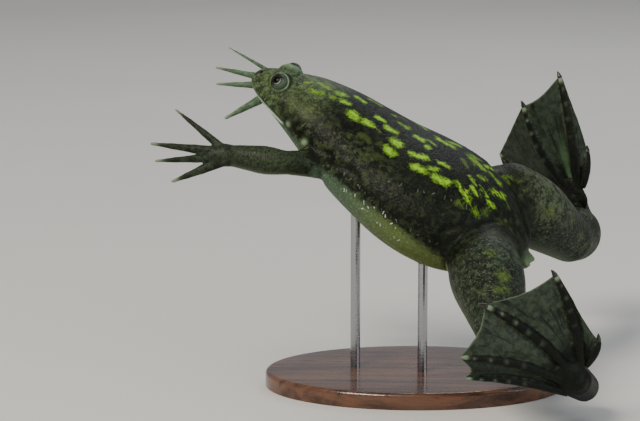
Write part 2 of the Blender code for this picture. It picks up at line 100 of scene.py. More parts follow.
def curveThrough(knots, values, at):
    # cubic through the knots, slopes from their neighbours
    slopes = np.gradient(values, knots, axis=0)
    k = np.clip(np.searchsorted(knots, at) - 1, 0, len(knots) - 2)
    width = knots[k + 1] - knots[k]
    t = (at - knots[k]) / width
    if values.ndim == 2:
        width, t = width[:, None], t[:, None]
    return ((2 * t**3 - 3 * t**2 + 1) * values[k] + (t**3 - 2 * t**2 + t) * width * slopes[k]
            + (3 * t**2 - 2 * t**3) * values[k + 1] + (t**3 - t**2) * width * slopes[k + 1])


def closedTube(rings):
    # rings (n, m, 3) become a closed skin with one pole at each end
    n, m = rings.shape[:2]
    i, j = np.mgrid[0:n - 1, 0:m]
    k = (j + 1) % m
    quads = np.stack((i * m + j, i * m + k, (i + 1) * m + k, (i + 1) * m + j), -1).reshape(-1, 4)
    j = np.arange(m)
    k = (j + 1) % m
    low = np.stack((np.full(m, n * m), k, j), -1)
    high = np.stack((np.full(m, n * m + 1), (n - 1) * m + j, (n - 1) * m + k), -1)
    points = np.vstack((rings.reshape(-1, 3), rings[0].mean(0), rings[-1].mean(0)))
    return points, quads.tolist() + low.tolist() + high.tolist()


def meshPiece(name, parts, inFrog=True):
    # one object from closed parts, each a pair of points and faces
    points, faces, start = [], [], 0
    for own, ownFaces in parts:
        points.append(own)
        faces += [[corner + start for corner in face] for face in ownFaces]
        start += len(own)
    points = np.vstack(points)
    mesh = bpy.data.meshes.new(name)
    mesh.from_pydata((toScene(points) if inFrog else points * mm).tolist(), [], faces)
    work = bmesh.new()
    work.from_mesh(mesh)
    bmesh.ops.recalc_face_normals(work, faces=work.faces)
    if work.calc_volume(signed=True) < 0:
        bmesh.ops.reverse_faces(work, faces=work.faces)
    work.to_mesh(mesh)
    work.free()
    mesh.shade_smooth()
    piece = bpy.data.objects.new(name, mesh)
    bpy.context.scene.collection.objects.link(piece)
    return piece


def applied(piece):
    graph = bpy.context.evaluated_depsgraph_get()
    fresh = bpy.data.meshes.new_from_object(piece.evaluated_get(graph))
    piece.modifiers.clear()
    piece.data = fresh
    return piece


def boolean(piece, others, operation):
    group = bpy.data.collections.new("others")
    bpy.context.scene.collection.children.link(group)
    for other in others:
        group.objects.link(other)
    step = piece.modifiers.new("step", "BOOLEAN")
    step.operation = operation
    step.operand_type = "COLLECTION"
    step.collection = group
    step.solver = "MANIFOLD"
    applied(piece)
    for other in others:
        bpy.data.objects.remove(other, do_unlink=True)
    bpy.data.collections.remove(group)


def remeshed(piece, size):
    step = piece.modifiers.new("voxels", "REMESH")
    step.mode = "VOXEL"
    step.voxel_size = size * mm
    step.adaptivity = 0.0
    applied(piece)
    piece.data.shade_smooth()


def coords(mesh):
    flat = np.empty(len(mesh.vertices) * 3, np.float32)
    mesh.vertices.foreach_get("co", flat)
    return flat.reshape(-1, 3).astype(float)


def setCoords(mesh, points):
    mesh.vertices.foreach_set("co", points.astype(np.float32).ravel())
    mesh.update()


def normals(mesh):
    flat = np.empty(len(mesh.vertices) * 3, np.float32)
    mesh.vertex_normals.foreach_get("vector", flat)
    return flat.reshape(-1, 3).astype(float)


def relax(mesh, weight, steps, fillOnly):
    # each step moves a point towards the mean of its neighbours, and with fillOnly never inwards
    ends = np.empty(len(mesh.edges) * 2, np.int32)
    mesh.edges.foreach_get("vertices", ends)
    a, b = ends.reshape(-1, 2).T
    here, there = np.r_[a, b], np.r_[b, a]
    count = np.bincount(here, minlength=len(mesh.vertices))[:, None]
    points = coords(mesh)
    for step in range(steps):
        if step % 6 == 0:
            setCoords(mesh, points)
            outward = normals(mesh)
        total = np.stack([np.bincount(here, points[there, k], len(points)) for k in range(3)], 1)
        move = total / count - points
        if fillOnly:
            lift = (move * outward).sum(1)[:, None]
            move = move - outward * np.minimum(lift, 0)
        points += move * weight[:, None]
    setCoords(mesh, points)


def addAttribute(mesh, name, values):
    kind = "FLOAT" if values.ndim == 1 else "FLOAT_VECTOR"
    key = "value" if values.ndim == 1 else "vector"
    made = mesh.attributes.get(name) or mesh.attributes.new(name, kind, "POINT")
    made.data.foreach_set(key, values.astype(np.float32).ravel())


def readAttribute(mesh, name):
    made = mesh.attributes.get(name)
    values = np.zeros(len(mesh.vertices), np.float32)
    if made is not None:
        made.data.foreach_get("value", values)
    return values


def linear(code):
    # hex code as the screen shows it, to linear light
    parts = [int(code[k:k + 2], 16) / 255 for k in (1, 3, 5)]
    return (*[p / 12.92 if p <= 0.04045 else ((p + 0.055) / 1.055) ** 2.4 for p in parts], 1.0)


def setInputs(tree, node, inputs):
    # an input takes a value, a colour code or the output of another node
    for key, value in inputs.items():
        if isinstance(value, bpy.types.NodeSocket):
            tree.links.new(value, node.inputs[key])
        else:
            node.inputs[key].default_value = linear(value) if isinstance(value, str) else value


def addNode(tree, kind, settings=None, inputs=None, output=0):
    node = tree.nodes.new("ShaderNode" + kind)
    for key, value in (settings or {}).items():
        setattr(node, key, value)
    setInputs(tree, node, inputs or {})
    return node.outputs[output]


def product(tree, *masks):
    # masks multiplied: each is a number, an output, or an output with the values where its smooth step
    # starts and ends, and if they aren't 1 and 0 its heights after the step and before it
    result = None
    for mask in masks:
        if isinstance(mask, tuple):
            source, low, high, after, before = mask + (1.0, 0.0)[len(mask) - 3:]
            step = {"Value": source, "From Min": low, "From Max": high, "To Min": before, "To Max": after}
            mask = addNode(tree, "MapRange", {"interpolation_type": "SMOOTHSTEP"}, step)
        if result is None:
            result = mask
        else:
            result = addNode(tree, "Math", {"operation": "MULTIPLY"}, {0: result, 1: mask})
    return result


def weighted(tree, total, *terms):
    # total plus each output times its weight
    for source, weight in terms:
        total = addNode(tree, "Math", {"operation": "MULTIPLY_ADD"}, {0: source, 1: weight, 2: total})
    return total


mixSockets = {"below": 6, "above": 7, "result": 2}  # the colour sockets of a Mix node


def painted(tree, ground, *layers):
    # coats of colour on a ground: each is a colour and the masks that let it cover what lies below
    for coat, *masks in layers:
        inputs = {"Factor": product(tree, *masks), mixSockets["below"]: ground, mixSockets["above"]: coat}
        ground = addNode(tree, "Mix", {"data_type": "RGBA"}, inputs, mixSockets["result"])
    return ground


def newMaterial(name):
    made = bpy.data.materials.new(name)
    made.use_nodes = True
    tree = made.node_tree
    return made, tree, tree.nodes["Principled BSDF"]


print("stage: camera, floor and lights")

# focal length and width in pixels of the photograph, the rest in degrees and millimetres
view = {"tilt": 10.0, "distance": 750.0, "aim": (0.0, 0.0, 55.0), "focal": 2475.0, "width": 640.0,
        "sensor": 36.0, "nearest": 10.0}
tilt = math.radians(view["tilt"])
aim = (np.array(view["aim"]) + shift) * mm
away = np.array((0.0, -math.cos(tilt), math.sin(tilt))) * view["distance"] * mm
cameraData = bpy.data.cameras.new("camera")
cameraData.sensor_width = view["sensor"]
cameraData.lens = view["sensor"] * view["focal"] / view["width"]
cameraData.clip_start = view["nearest"] * mm
camera = bpy.data.objects.new("camera", cameraData)
camera.location = aim + away
camera.rotation_euler = (math.radians(90.0 - view["tilt"]), 0.0, 0.0)
bpy.context.scene.collection.objects.link(camera)
bpy.context.scene.camera = camera

# radii of the floor's rings in metres; colours of the painted board and of the light from all round
room = {"rings": (0.2, 0.6, 1.8, 6.0), "sides": 96, "board": ("#d3d2cd", "#dedcd7"), "clouds": 0.006 / mm,
        "sky": "#e6e9ee", "skyStrength": 0.42}
lamps = (
    # name, place, aim, size in metres, watts, colour
    ("key", (-0.55, -0.75, 1.05), (0.0, 0.0, 0.06), 0.55, 17.0, "#fff6ea"),
    ("fill", (0.95, -0.70, 0.45), (0.0, 0.0, 0.05), 0.80, 4.5, "#eaf1ff"),
    ("rim", (0.25, 0.85, 0.80), (0.0, 0.0, 0.07), 0.50, 2.2, "#f4f8ff"),
)
# floor = r (cos a, sin a) for a few rising r, at height 0
n = room["sides"]
turn = 2 * np.pi * np.arange(n) / n
circle = np.stack((np.cos(turn), np.sin(turn), 0 * turn), -1)
floorPoints = np.vstack([circle * r for r in room["rings"]] + [np.zeros(3)])
i, j = np.mgrid[0:len(room["rings"]) - 1, 0:n]
k = (j + 1) % n
floorFaces = np.stack((i * n + j, (i + 1) * n + j, (i + 1) * n + k, i * n + k), -1).reshape(-1, 4).tolist()
floorFaces += [(len(floorPoints) - 1, a, (a + 1) % n) for a in range(n)]
floorMesh = bpy.data.meshes.new("floor")
floorMesh.from_pydata(floorPoints.tolist(), [], floorFaces)
floor = bpy.data.objects.new("floor", floorMesh)
bpy.context.scene.collection.objects.link(floor)
# matt painted board: faint cloudy unevenness, no shine
board, tree, shader = newMaterial("matt_painted_board")
place = addNode(tree, "TexCoord", output="Object")
cloud = addNode(tree, "TexNoise", inputs={"Vector": place, "Scale": room["clouds"], "Detail": 5.0})
setInputs(tree, shader, {"Base Color": painted(tree, room["board"][0], (room["board"][1], cloud)),
                         "Roughness": 0.85, "Specular IOR Level": 0.2})
floorMesh.materials.append(board)

world = bpy.data.worlds.new("studio")
world.use_nodes = True
setInputs(world.node_tree, world.node_tree.nodes["Background"],
          {"Color": room["sky"], "Strength": room["skyStrength"]})
bpy.context.scene.world = world
for name, spot, goal, size, watts, tint in lamps:
    data = bpy.data.lights.new(name, "AREA")
    data.shape = "DISK"
    data.size = size
    data.energy = watts
    data.color = linear(tint)[:3]
    lamp = bpy.data.objects.new(name, data)
    lamp.location = spot
    lamp.rotation_euler = (Vector(goal) - Vector(spot)).to_track_quat("-Z", "Y").to_euler()
    bpy.context.scene.collection.objects.link(lamp)

print("stage: trunk and limbs")

trunk = {
    # distance from the vent, half width, height of the back, depth of the belly, height of the widest line
    "stations": np.array((
        (-0.5, 2.0, 2.0, -3.0, 0.0), (1.0, 6.0, 4.6, -5.6, 0.0), (4.0, 11.0, 7.2, -8.2, 0.0),
        (10.0, 17.0, 10.8, -12.0, 0.0), (18.0, 22.0, 12.9, -15.0, 0.0), (28.0, 24.6, 13.8, -16.5, 0.0),
        (38.0, 24.6, 13.6, -16.3, 0.0), (50.0, 22.4, 12.9, -14.0, 0.0), (60.0, 20.2, 13.4, -10.9, 0.1),
        (68.0, 17.7, 13.9, -7.8, 0.8), (76.0, 14.7, 13.3, -4.8, 2.1), (84.0, 11.3, 11.6, -2.3, 3.1),
        (90.0, 8.6, 9.8, -0.7, 3.5), (93.8, 6.5, 8.6, 0.4, 3.6), (96.6, 4.5, 7.2, 1.3, 3.7),
        (98.0, 2.8, 5.9, 2.1, 3.7), (98.6, 1.2, 4.8, 2.8, 3.7))),
    "powers": (0.92, 0.95, 0.85), "rings": 150, "sides": 120,
    # centre and radii of the three folds of skin round the vent
    "ventFolds": (((-1.6, 2.0, -2.2), (2.6, 1.5, 1.3)), ((-1.6, -2.0, -2.2), (2.6, 1.5, 1.3)),
                  ((-1.2, 0.0, -4.4), (2.2, 1.7, 1.2))),
    "voxel": 0.79,
}
limbs = {
    "left": {"shoulder": (65.0, 13.5, -2.5), "elbow": (73.0, 26.5, -1.0), "wrist": (86.5, 28.9, -6.3),
             "hip": (10.5, 12.5, -0.5), "knee": (-8.0, 44.5, 1.5), "ankle": (-37.0, 25.0, -14.0),
             "foot": (-34.5, 41.0, -3.0)},
    "right": {"shoulder": (63.5, -13.5, -4.0), "elbow": (77.0, -24.0, -11.0), "wrist": (91.3, -20.0, -4.2),
              "hip": (14.1, -17.5, 3.9), "knee": (-6.7, -44.5, -14.6), "ankle": (-5.0, -79.0, -27.0),
              "foot": (0.0, -67.5, -13.5)},
}
# radii along each stretch, from its start to its end
girths = {"upperArm": (4.6, 4.0, 3.5), "forearm": (3.7, 4.1, 3.5), "thigh": (10.0, 10.7, 9.4, 7.6),
          "shank": (7.0, 8.3, 6.6, 4.4), "tarsus": (4.0, 3.5, 3.4), "sole": (3.8, 4.7, 4.0),
          "palm": (3.2, 3.3, 3.5, 2.6)}
stretches = (
    # from, to, girth, rings, muscle bellies as place, height and width
    ("shoulder", "elbow", "upperArm", 40, ()), ("elbow", "wrist", "forearm", 40, ((0.3, 0.06, 0.2),)),
    ("hip", "knee", "thigh", 60, ((0.45, 0.04, 0.25),)), ("knee", "ankle", "shank", 60, ((0.3, 0.05, 0.15),)),
    ("ankle", "foot", "tarsus", 30, ()),
)
blending = {
    # how far from each joint the skin is smoothed, with the weight and number of steps
    "reach": {"shoulder": 11.0, "hip": 15.0, "knee": 12.0, "elbow": 6.0, "ankle": 6.0},
    "weight": 0.6, "steps": 55,
    # the near thigh runs into the rump with no step: centre, half widths, weight, steps
    "rump": (6.0, 12.0, 9.0), "rumpSize": (6.5, 6.5, 6.0), "rumpWeight": 0.7, "rumpSteps": 130,
}


def trunkSize(x):
    stations = trunk["stations"]
    x = np.clip(x, stations[0, 0], stations[-1, 0])
    return [curveThrough(stations[:, 0], stations[:, k], x) for k in (1, 2, 3, 4)]


def trunkSkin():
    # x = u, y = half(u) |cos a|^p, z = widest(u) + (top(u) - widest(u)) sin^q a above,
    # widest(u) + (bottom(u) - widest(u)) |sin a|^r below
    stations = trunk["stations"]
    u = stations[0, 0] + (stations[-1, 0] - stations[0, 0]) * np.linspace(0, 1, trunk["rings"])
    half, top, bottom, widest = trunkSize(u)
    a = 2 * np.pi * np.arange(trunk["sides"]) / trunk["sides"]
    p, q, r = trunk["powers"]
    across = np.sign(np.cos(a)) * np.abs(np.cos(a)) ** p
    above = np.clip(np.sin(a), 0, 1) ** q
    below = np.clip(-np.sin(a), 0, 1) ** r
    y = np.outer(half, across)
    z = widest[:, None] + np.outer(top - widest, above) + np.outer(bottom - widest, below)
    return closedTube(np.stack((np.repeat(u[:, None], trunk["sides"], 1), y, z), -1))


def limbSkin(path, radii, sides, steps, flat=1.0, across=None, bumps=(), reach=0.8):
    # centre c(u) on a smooth path; ring = c + r(u) (cos a side + flat sin a normal);
    # the ends are rounded with radius r sin t, t from 0 to 90 degrees
    path = np.asarray(path, float)
    length = np.r_[0, np.cumsum(np.linalg.norm(np.diff(path, axis=0), axis=1))]
    at = np.linspace(0, length[-1], steps)
    centre = curveThrough(length, path, at)
    knots = np.linspace(0, length[-1], len(radii))
    radius = curveThrough(knots, np.array(radii), at)
    for spot, height, width in bumps:
        radius = radius * (1 + height * bell(at / length[-1], spot, width))
    tangent = unit(np.gradient(centre, axis=0))
    guide = np.array((0.0, 0.0, 1.0)) if across is None else across
    side = unit(np.cross(tangent, np.cross(guide, tangent)))
    normal = np.cross(tangent, side)
    t = np.radians((8, 24, 40, 56, 72))
    ahead = (np.cos(t) * reach)[:, None]
    centre = np.vstack((centre[0] - tangent[0] * ahead * radius[0], centre,
                        (centre[-1] + tangent[-1] * ahead * radius[-1])[::-1]))
    side = np.vstack(([side[0]] * len(t), side, [side[-1]] * len(t)))
    normal = np.vstack(([normal[0]] * len(t), normal, [normal[-1]] * len(t)))
    radius = np.r_[radius[0] * np.sin(t), radius, (radius[-1] * np.sin(t))[::-1]]
    a = 2 * np.pi * np.arange(sides) / sides
    rim = side[:, None] * np.cos(a)[:, None] + normal[:, None] * np.sin(a)[:, None] * flat
    return closedTube(centre[:, None] + rim * radius[:, None, None])


def sidesOf(axis):
    # two directions at right angles to an axis and to each other
    side = unit(np.cross(axis, (0.3, 0.9, 0.1)))
    return side, np.cross(axis, side)


def eggSkin(centre, radii, axis=(0.0, 0.0, 1.0), sides=48, rows=30):
    # centre + radii (sin t cos a, sin t sin a, cos t) turned so that cos t runs along the axis
    axis = unit(np.array(axis, float))
    t = np.linspace(0, np.pi, rows + 2)[1:-1]
    a = 2 * np.pi * np.arange(sides) / sides
    ring = np.stack((np.outer(np.sin(t), np.cos(a)) * radii[0], np.outer(np.sin(t), np.sin(a)) * radii[1],
                     np.repeat(np.cos(t)[:, None], sides, 1) * radii[2]), -1)
    points, faces = closedTube(ring)
    points[-2:] = (0, 0, radii[2]), (0, 0, -radii[2])
    return np.asarray(centre) + points @ np.array((*sidesOf(axis), axis)), faces


def lathe(centre, axis, profile, sides=72):
    # profile rows are (radius, height) turned about the axis
    axis = unit(np.array(axis, float))
    side, other = sidesOf(axis)
    a = 2 * np.pi * np.arange(sides) / sides
    rim = side * np.cos(a)[:, None] + other * np.sin(a)[:, None]
    radius, height = np.array(profile, float).T[:, :, None, None]
    return closedTube(np.asarray(centre) + rim[None] * radius + axis * height)


parts = [trunkSkin()] + [eggSkin(centre, radii) for centre, radii in trunk["ventFolds"]]
for joint in limbs.values():
    for start, end, girth, steps, bumps in stretches:
        a, b = np.array(joint[start]), np.array(joint[end])
        parts.append(limbSkin((a, a * 0.5 + b * 0.5, b), girths[girth], 56, steps, bumps=bumps))
body = meshPiece("frog_skin", parts)
remeshed(body, trunk["voxel"])
print("body", len(body.data.vertices))

points = toFrog(coords(body.data))
near = np.full(len(points), np.inf)
for joint in limbs.values():
    for name, reach in blending["reach"].items():
        near = np.minimum(near, distance(points, joint[name]) / reach)
relax(body.data, blending["weight"] * (1 - ramp(near, 0.7, 1.1)), blending["steps"], True)
relax(body.data, np.full(len(points), 0.5), 3, False)
points = toFrog(coords(body.data))
rump = bell(np.linalg.norm((points - blending["rump"]) / blending["rumpSize"], axis=1), 0, 1)
relax(body.data, blending["rumpWeight"] * ramp(rump, 0.1, 0.5), blending["rumpSteps"], True)

print("stage: head")

head = {
    "finerFrom": 76.0, "shapedFrom": (76.0, 79.0), "mouthHeight": 2.4, "mouthCorner": 82.5,
    "eye": np.array((89.0, 5.1, 9.1)), "eyeRadius": 2.6, "socketGap": 0.04,
    "gaze": np.array((0.37, 0.72, 0.585)), "lidAxis": np.array((0.10, 0.75, 0.65)),
    "nostril": np.array((96.4, 1.7, 7.0)),
    "nostrilSize": (0.62, 0.34, 0.55), "nostrilTurn": (0.4, 0.3, 0.9), "knob": np.array((79.3, 13.2, 3.6)),
    # radius and height along the fold of the lid, from inside the head out over its edge
    "lid": ((0.3, -2.7), (2.5, -2.6), (4.0, -2.0), (4.25, -1.0), (3.95, -0.25), (3.65, 0.02), (3.38, 0.14),
            (3.2, 0.34), (3.07, 0.64), (2.88, 0.84), (2.68, 0.88), (2.5, 0.80), (1.6, 0.75), (0.3, 0.75)),
    # groove between the lips, upper lip, lower lip: relief, height over the mouth line, half width
    "lips": ((-0.34, 0.0, 0.22), (0.16, 0.75, 0.45), (0.30, -0.65, 0.45)),
    # relief and half width of the knob behind the mouth and, at a distance, of the dip round it
    "knobRelief": ((0.55, 0.0, 1.3), (-0.22, 2.3, 0.6)),
    # relief, then place and half width along x and z of the cheek, along x and y of the dip on the snout
    "cheek": (0.5, (79.5, 4.0), (7.5, 3.5)), "snoutDip": (-0.35, (91.0, 3.5), (0.0, 2.2)),
}


def mouthDistance(points):
    # height over the line between the lips, and how far a point lies behind the corner of the mouth
    return points[:, 2] - head["mouthHeight"], np.clip(head["mouthCorner"] - points[:, 0], 0, None)


def mirrored(points):
    # both sides of the body folded onto the left one
    return points * (1, 0, 1) + np.abs(points) * (0, 1, 0)


def inHead(points, start):
    return (points[:, 0] > start) & (np.abs(points[:, 1]) < trunkSize(points[:, 0])[0] + 1.5)


def refine(piece, chosen):
    work = bmesh.new()
    work.from_mesh(piece.data)
    work.verts.ensure_lookup_table()
    faces = [face for face in work.faces if all(chosen[v.index] for v in face.verts)]
    edges = list({edge for face in faces for edge in face.edges})
    bmesh.ops.subdivide_edges(work, edges=edges, cuts=1, use_grid_fill=True)
    work.to_mesh(piece.data)
    work.free()


refine(body, inHead(toFrog(coords(body.data)), head["finerFrom"]))
points = toFrog(coords(body.data))
headMask = ramp(points[:, 0], *head["shapedFrom"]) * inHead(points, head["shapedFrom"][0])
relax(body.data, 0.5 * headMask, 4, False)
points = toFrog(coords(body.data))
x, y, z = points.T
above, behind = mouthDistance(points)
relief = sum(size * bell(above, place, width) for size, place, width in head["lips"])
relief = relief * bell(behind, 0, 0.8) * headMask
size, alongX, alongZ = head["cheek"]
relief += size * bell(x, *alongX) * bell(z, *alongZ) * ramp(np.abs(y), 5, 9)
size, alongX, alongY = head["snoutDip"]
relief += size * bell(x, *alongX) * bell(y, *alongY) * (z > 5)
fromKnob = distance(mirrored(points), head["knob"])
relief += sum(size * bell(fromKnob, place, width) for size, place, width in head["knobRelief"])
outward = normals(body.data) @ axes.T
setCoords(body.data, toScene(points + outward * relief[:, None]))
print("head", len(body.data.vertices))

added, cut = [], []
for sign in (1, -1):
    mirror = np.array((1, sign, 1))
    eye = head["eye"] * mirror
    socket = (head["eyeRadius"] + head["socketGap"],) * 3
    added.append(meshPiece("lid", [lathe(eye, head["lidAxis"] * mirror, head["lid"])]))
    cut.append(meshPiece("socket", [eggSkin(eye, socket, rows=40)]))
    turned = np.array(head["nostrilTurn"]) * mirror
    cut.append(meshPiece("nostril", [eggSkin(head["nostril"] * mirror, head["nostrilSize"], turned)]))

print("stage: hands and feet")

hands = {
    # tips of the four fingers, girth of each finger against the radii along it
    "left": ((109.6, 27.0, -4.5), (109.5, 37.7, -12.4), (105.0, 42.0, -14.0), (98.5, 39.4, -18.9)),
    "right": ((113.7, -15.0, -1.5), (113.7, -11.7, -8.2), (111.0, -10.5, -12.5), (103.4, -8.2, -20.3)),
    "girths": {"left": (0.85, 1.1, 1.0, 1.1), "right": (0.52, 0.9, 0.95, 1.15)},
    "radii": (1.6, 1.25, 0.85, 0.38), "palm": (-2.0, 0.0, 3.0, 6.5),
    # place along the finger, height and width of its swellings
    "knuckles": ((0.38, 0.07, 0.05), (0.70, 0.09, 0.04), (0.96, 0.2, 0.03)),
    "start": 4.5, "spacing": 1.5, "bow": 0.6, "voxel": 0.3,
}
feet = {
    # tips of the five toes, how far each bows sideways at its middle
    "left": ((-33.7, 34.8, 8.6), (-14.3, 40.7, 23.2), (-2.8, 56.7, 12.6), (-4.5, 65.7, -0.3),
             (-8.4, 64.2, -6.5)),
    "right": ((4.5, -72.8, 0.7), (24.3, -77.4, 16.3), (29.6, -71.4, 3.6), (30.0, -78.0, -20.0),
              (22.0, -81.0, -33.0)),
    "bows": {"left": (0.5, 1.5, 2.0, 2.4, 1.5), "right": (0.5, 1.2, -2.6, -1.5, -1.0)},
    # girth of each toe against the radii at these places along it, and the low swellings at its joints
    "girths": (0.8, 1.0, 1.0, 0.9, 0.72),
    "places": np.array((0.0, 0.12, 0.35, 0.9, 1.0)), "radii": np.array((1.1, 1.5, 1.85, 1.05, 0.75)),
    "joints": (0.40, 0.62, 0.82), "jointWidth": 0.03, "swellings": (0.04, 0.10, 0.10, 0.10, 0.10),
    # how deep the edge of the web swings in between two toes, and towards which of them
    "notches": {"left": (0.22, 0.035, 0.03, 0.05), "right": (-0.05, 0.035, 0.02, 0.1)},
    "skews": (1.6, 1.0, 1.0, 1.0),
    # gap between the roots of two toes, half thickness of the web, places of the sole along the foot
    "spacing": 2.3, "web": 0.26, "sole": (-2.0, 2.0, 5.5),
    # how far the web bulges, height of its ripples, how many there are from toe to toe and their slant
    "billow": {"left": 1.1, "right": 0.9}, "ripple": 0.16, "ripples": (4.5, 0.6),
    # points along the foot, those of them close to the rim, lines across a toe and across a web
    "rows": 58, "rimRows": 8, "acrossToe": 9, "acrossWeb": 9,
    # pale spots along a toe: places, half width, strengths
    "spots": np.array((0.47, 0.62, 0.75, 0.88)), "spotWidth": 0.014, "spotStrength": (0.35, 0.45, 0.8, 1.0),
}


def directions(tips, root, first, last):
    # ahead from the root to the tips, and across from the last digit to the first at right angles to it
    ahead = unit((tips - root).mean(0))
    across = first - last
    return ahead, unit(across - ahead * (across @ ahead))


def handSkin(side):
    wrist = np.array(limbs[side]["wrist"])
    tips = np.array(hands[side])
    ahead, across = directions(tips, wrist, tips[0], tips[3])
    made = [limbSkin([wrist + ahead * s for s in hands["palm"]], girths["palm"], 40, 30, 0.75, across)]
    for number, tip in enumerate(tips):
        start = wrist + ahead * hands["start"] + across * (1.5 - number) * hands["spacing"]
        middle = start * 0.5 + tip * 0.5 + unit(tip - start - ahead * 3) * hands["bow"]
        radii = np.array(hands["radii"]) * hands["girths"][side][number]
        made.append(limbSkin((start, middle, tip), radii, 28, 60, bumps=hands["knuckles"]))
    piece = meshPiece("hand", made)
    remeshed(piece, hands["voxel"])
    relax(piece.data, np.full(len(piece.data.vertices), 0.5), 3, False)
    return piece


def toeFrames(side):
    root = np.array(limbs[side]["foot"])
    tips = np.array(feet[side])
    reach = np.linalg.norm(tips - root, axis=1)
    ahead, across = directions(tips[1:], root, tips[1], tips[4])
    starts = root + across * (2 - np.arange(5))[:, None] * feet["spacing"]
    own = unit(tips - starts)
    lean = unit(across - own * (own @ across)[:, None])
    middle = starts + own * (reach * 0.5)[:, None] + lean * 2 * np.array(feet["bows"][side])[:, None]
    return {"starts": starts, "middle": middle, "tips": tips, "across": across, "ahead": ahead, "root": root}


def toeAt(frames, toe, s):
    # (1 - s)^2 start + 2 s (1 - s) middle + s^2 tip
    start, middle, tip = (frames[name][toe] for name in ("starts", "middle", "tips"))
    s = s[:, None]
    return start * (1 - s) ** 2 + middle * 2 * s * (1 - s) + tip * s**2


def rounded(s, start, length, least):
    # 1 up to the start, then a quarter circle down
    return np.sqrt(np.clip(1 - np.clip((s - start) / length, 0, 1) ** 2, least, 1))


def toeRadius(toe, s):
    # girth from the table, with low swellings at the joints and a rounded end
    radius = curveThrough(feet["places"], feet["radii"], np.clip(s, 0, 1)) * feet["girths"][toe]
    for joint in feet["joints"]:
        radius = radius + feet["swellings"][toe] * bell(s, joint, feet["jointWidth"])
    return radius * rounded(s, 0.97, 0.031, 0.02)


def toeEdge(frames, toe, offset, at):
    # a line along the toe, offset radii to one side of its middle, and the direction out of the foot there
    tangent = unit(toeAt(frames, toe, at + 0.01) - toeAt(frames, toe, at - 0.01))
    lean = toeAt(frames, max(toe - 1, 0), at) - toeAt(frames, min(toe + 1, 4), at)
    lean = unit(lean - tangent * (lean * tangent).sum(1)[:, None])
    return toeAt(frames, toe, at) - lean * offset * toeRadius(toe, at)[:, None], np.cross(tangent, lean)


def toeSpots(toe, offset, s):
    # small pale spots on the ridge of the outer half of the toe, stronger and weaker by turns
    places = feet["spots"] + 0.02 * math.sin(toe * 2.7)
    strength = feet["spotStrength"] * (0.3 + 0.7 * np.abs(np.sin(places * 23 + toe * 1.7)))
    near = bell(s[:, None], places, feet["spotWidth"]) * bell(offset, 0.2 * np.sin(places * 40 + toe), 0.4)
    return (near * strength).max(1) * (toe > 0)


def toeColumns(frames, s, toe):
    # lines that ride across a toe: the depth follows a circle, and thins into the web
    for offset in np.sin(np.linspace(-1, 1, feet["acrossToe"]) * np.pi / 2):
        here, normal = toeEdge(frames, toe, offset, s)
        radius = toeRadius(toe, s)
        thick = radius * np.sqrt(max(1 - offset**2, 0))
        depth = (thick**3 + (feet["web"] * np.minimum(radius, 1.0) + 0.02) ** 3) ** (1 / 3)
        yield here, normal, depth, abs(offset) ** 6 * 0.5 + 0 * s, toe + 0 * s, toeSpots(toe, offset, s)


def webColumns(side, frames, s, toe):
    # lines between a toe and the next: (1 - t) one edge + t the other - normal (billow + ripples)
    for t in np.linspace(0, 1, feet["acrossWeb"] + 2)[1:-1]:
        reach = s * (1 - feet["notches"][side][toe] * np.sin(np.pi * t ** feet["skews"][toe]))
        near, nearNormal = toeEdge(frames, toe, 1.0, reach)
        far, farNormal = toeEdge(frames, toe + 1, -1.0, reach)
        normal = unit(nearNormal * (1 - t) + farNormal * t)
        bulge = feet["billow"][side] * np.sin(np.pi * t) * s**1.3
        many, slant = feet["ripples"]
        ripple = feet["ripple"] * np.sin(2 * np.pi * (t * many + slant * s)) * np.sin(np.pi * t) * s
        here = near * (1 - t) + far * t - normal * (bulge + ripple)[:, None]
        yield here, normal, feet["web"] * rounded(s, 0.96, 0.041, 0.05), 1 + 0 * s, toe + t + 0 * s, 0 * s


def footSkin(side):
    # a sheet of lines from the root to the rim; its two faces = centre +- depth normal
    frames = toeFrames(side)
    s = np.r_[np.linspace(0, 0.94, feet["rows"] - feet["rimRows"]), np.linspace(0.95, 1, feet["rimRows"])]
    columns = []
    for toe in range(5):
        columns += toeColumns(frames, s, toe)
        if toe < 4:
            columns += webColumns(side, frames, s, toe)
    grid, facing, depth, web, across, spots = (np.array(part) for part in zip(*columns))
    n, m = depth.shape
    over = (grid + facing * depth[..., None]).reshape(-1, 3)
    below = (grid - facing * depth[..., None]).reshape(-1, 3)
    i, j = [x.ravel() for x in np.mgrid[0:n - 1, 0:m - 1]]
    a, b = i * m + j, (i + 1) * m + j
    upper = np.stack((a, b, b + 1, a + 1), -1)
    lower = (upper + n * m)[:, ::-1]
    rim = np.r_[np.arange(n) * m, (n - 1) * m + np.arange(1, m),
                np.arange(n - 2, -1, -1) * m + m - 1, np.arange(m - 2, 0, -1)]
    after = np.roll(rim, -1)
    border = np.stack((rim, rim + n * m, after + n * m, after), -1)
    piece = meshPiece("foot", [(np.vstack((over, below)), np.vstack((upper, lower, border)).tolist())])
    for name, values in (("web", web), ("across", across), ("along", np.tile(s, (n, 1))), ("spots", spots)):
        addAttribute(piece.data, name, np.tile(values.ravel(), 2))
    return piece


for side in limbs:
    frames = toeFrames(side)
    path = [frames["root"] + frames["ahead"] * s for s in feet["sole"]]
    sole = limbSkin(path, girths["sole"], 48, 30, 0.42, frames["across"])
    added += [handSkin(side), footSkin(side), meshPiece("sole", [sole])]
boolean(body, added, "UNION")
boolean(body, cut, "DIFFERENCE")


def nearestOf(points, spots):
    return np.min([distance(points, spot) for spot in spots], axis=0)


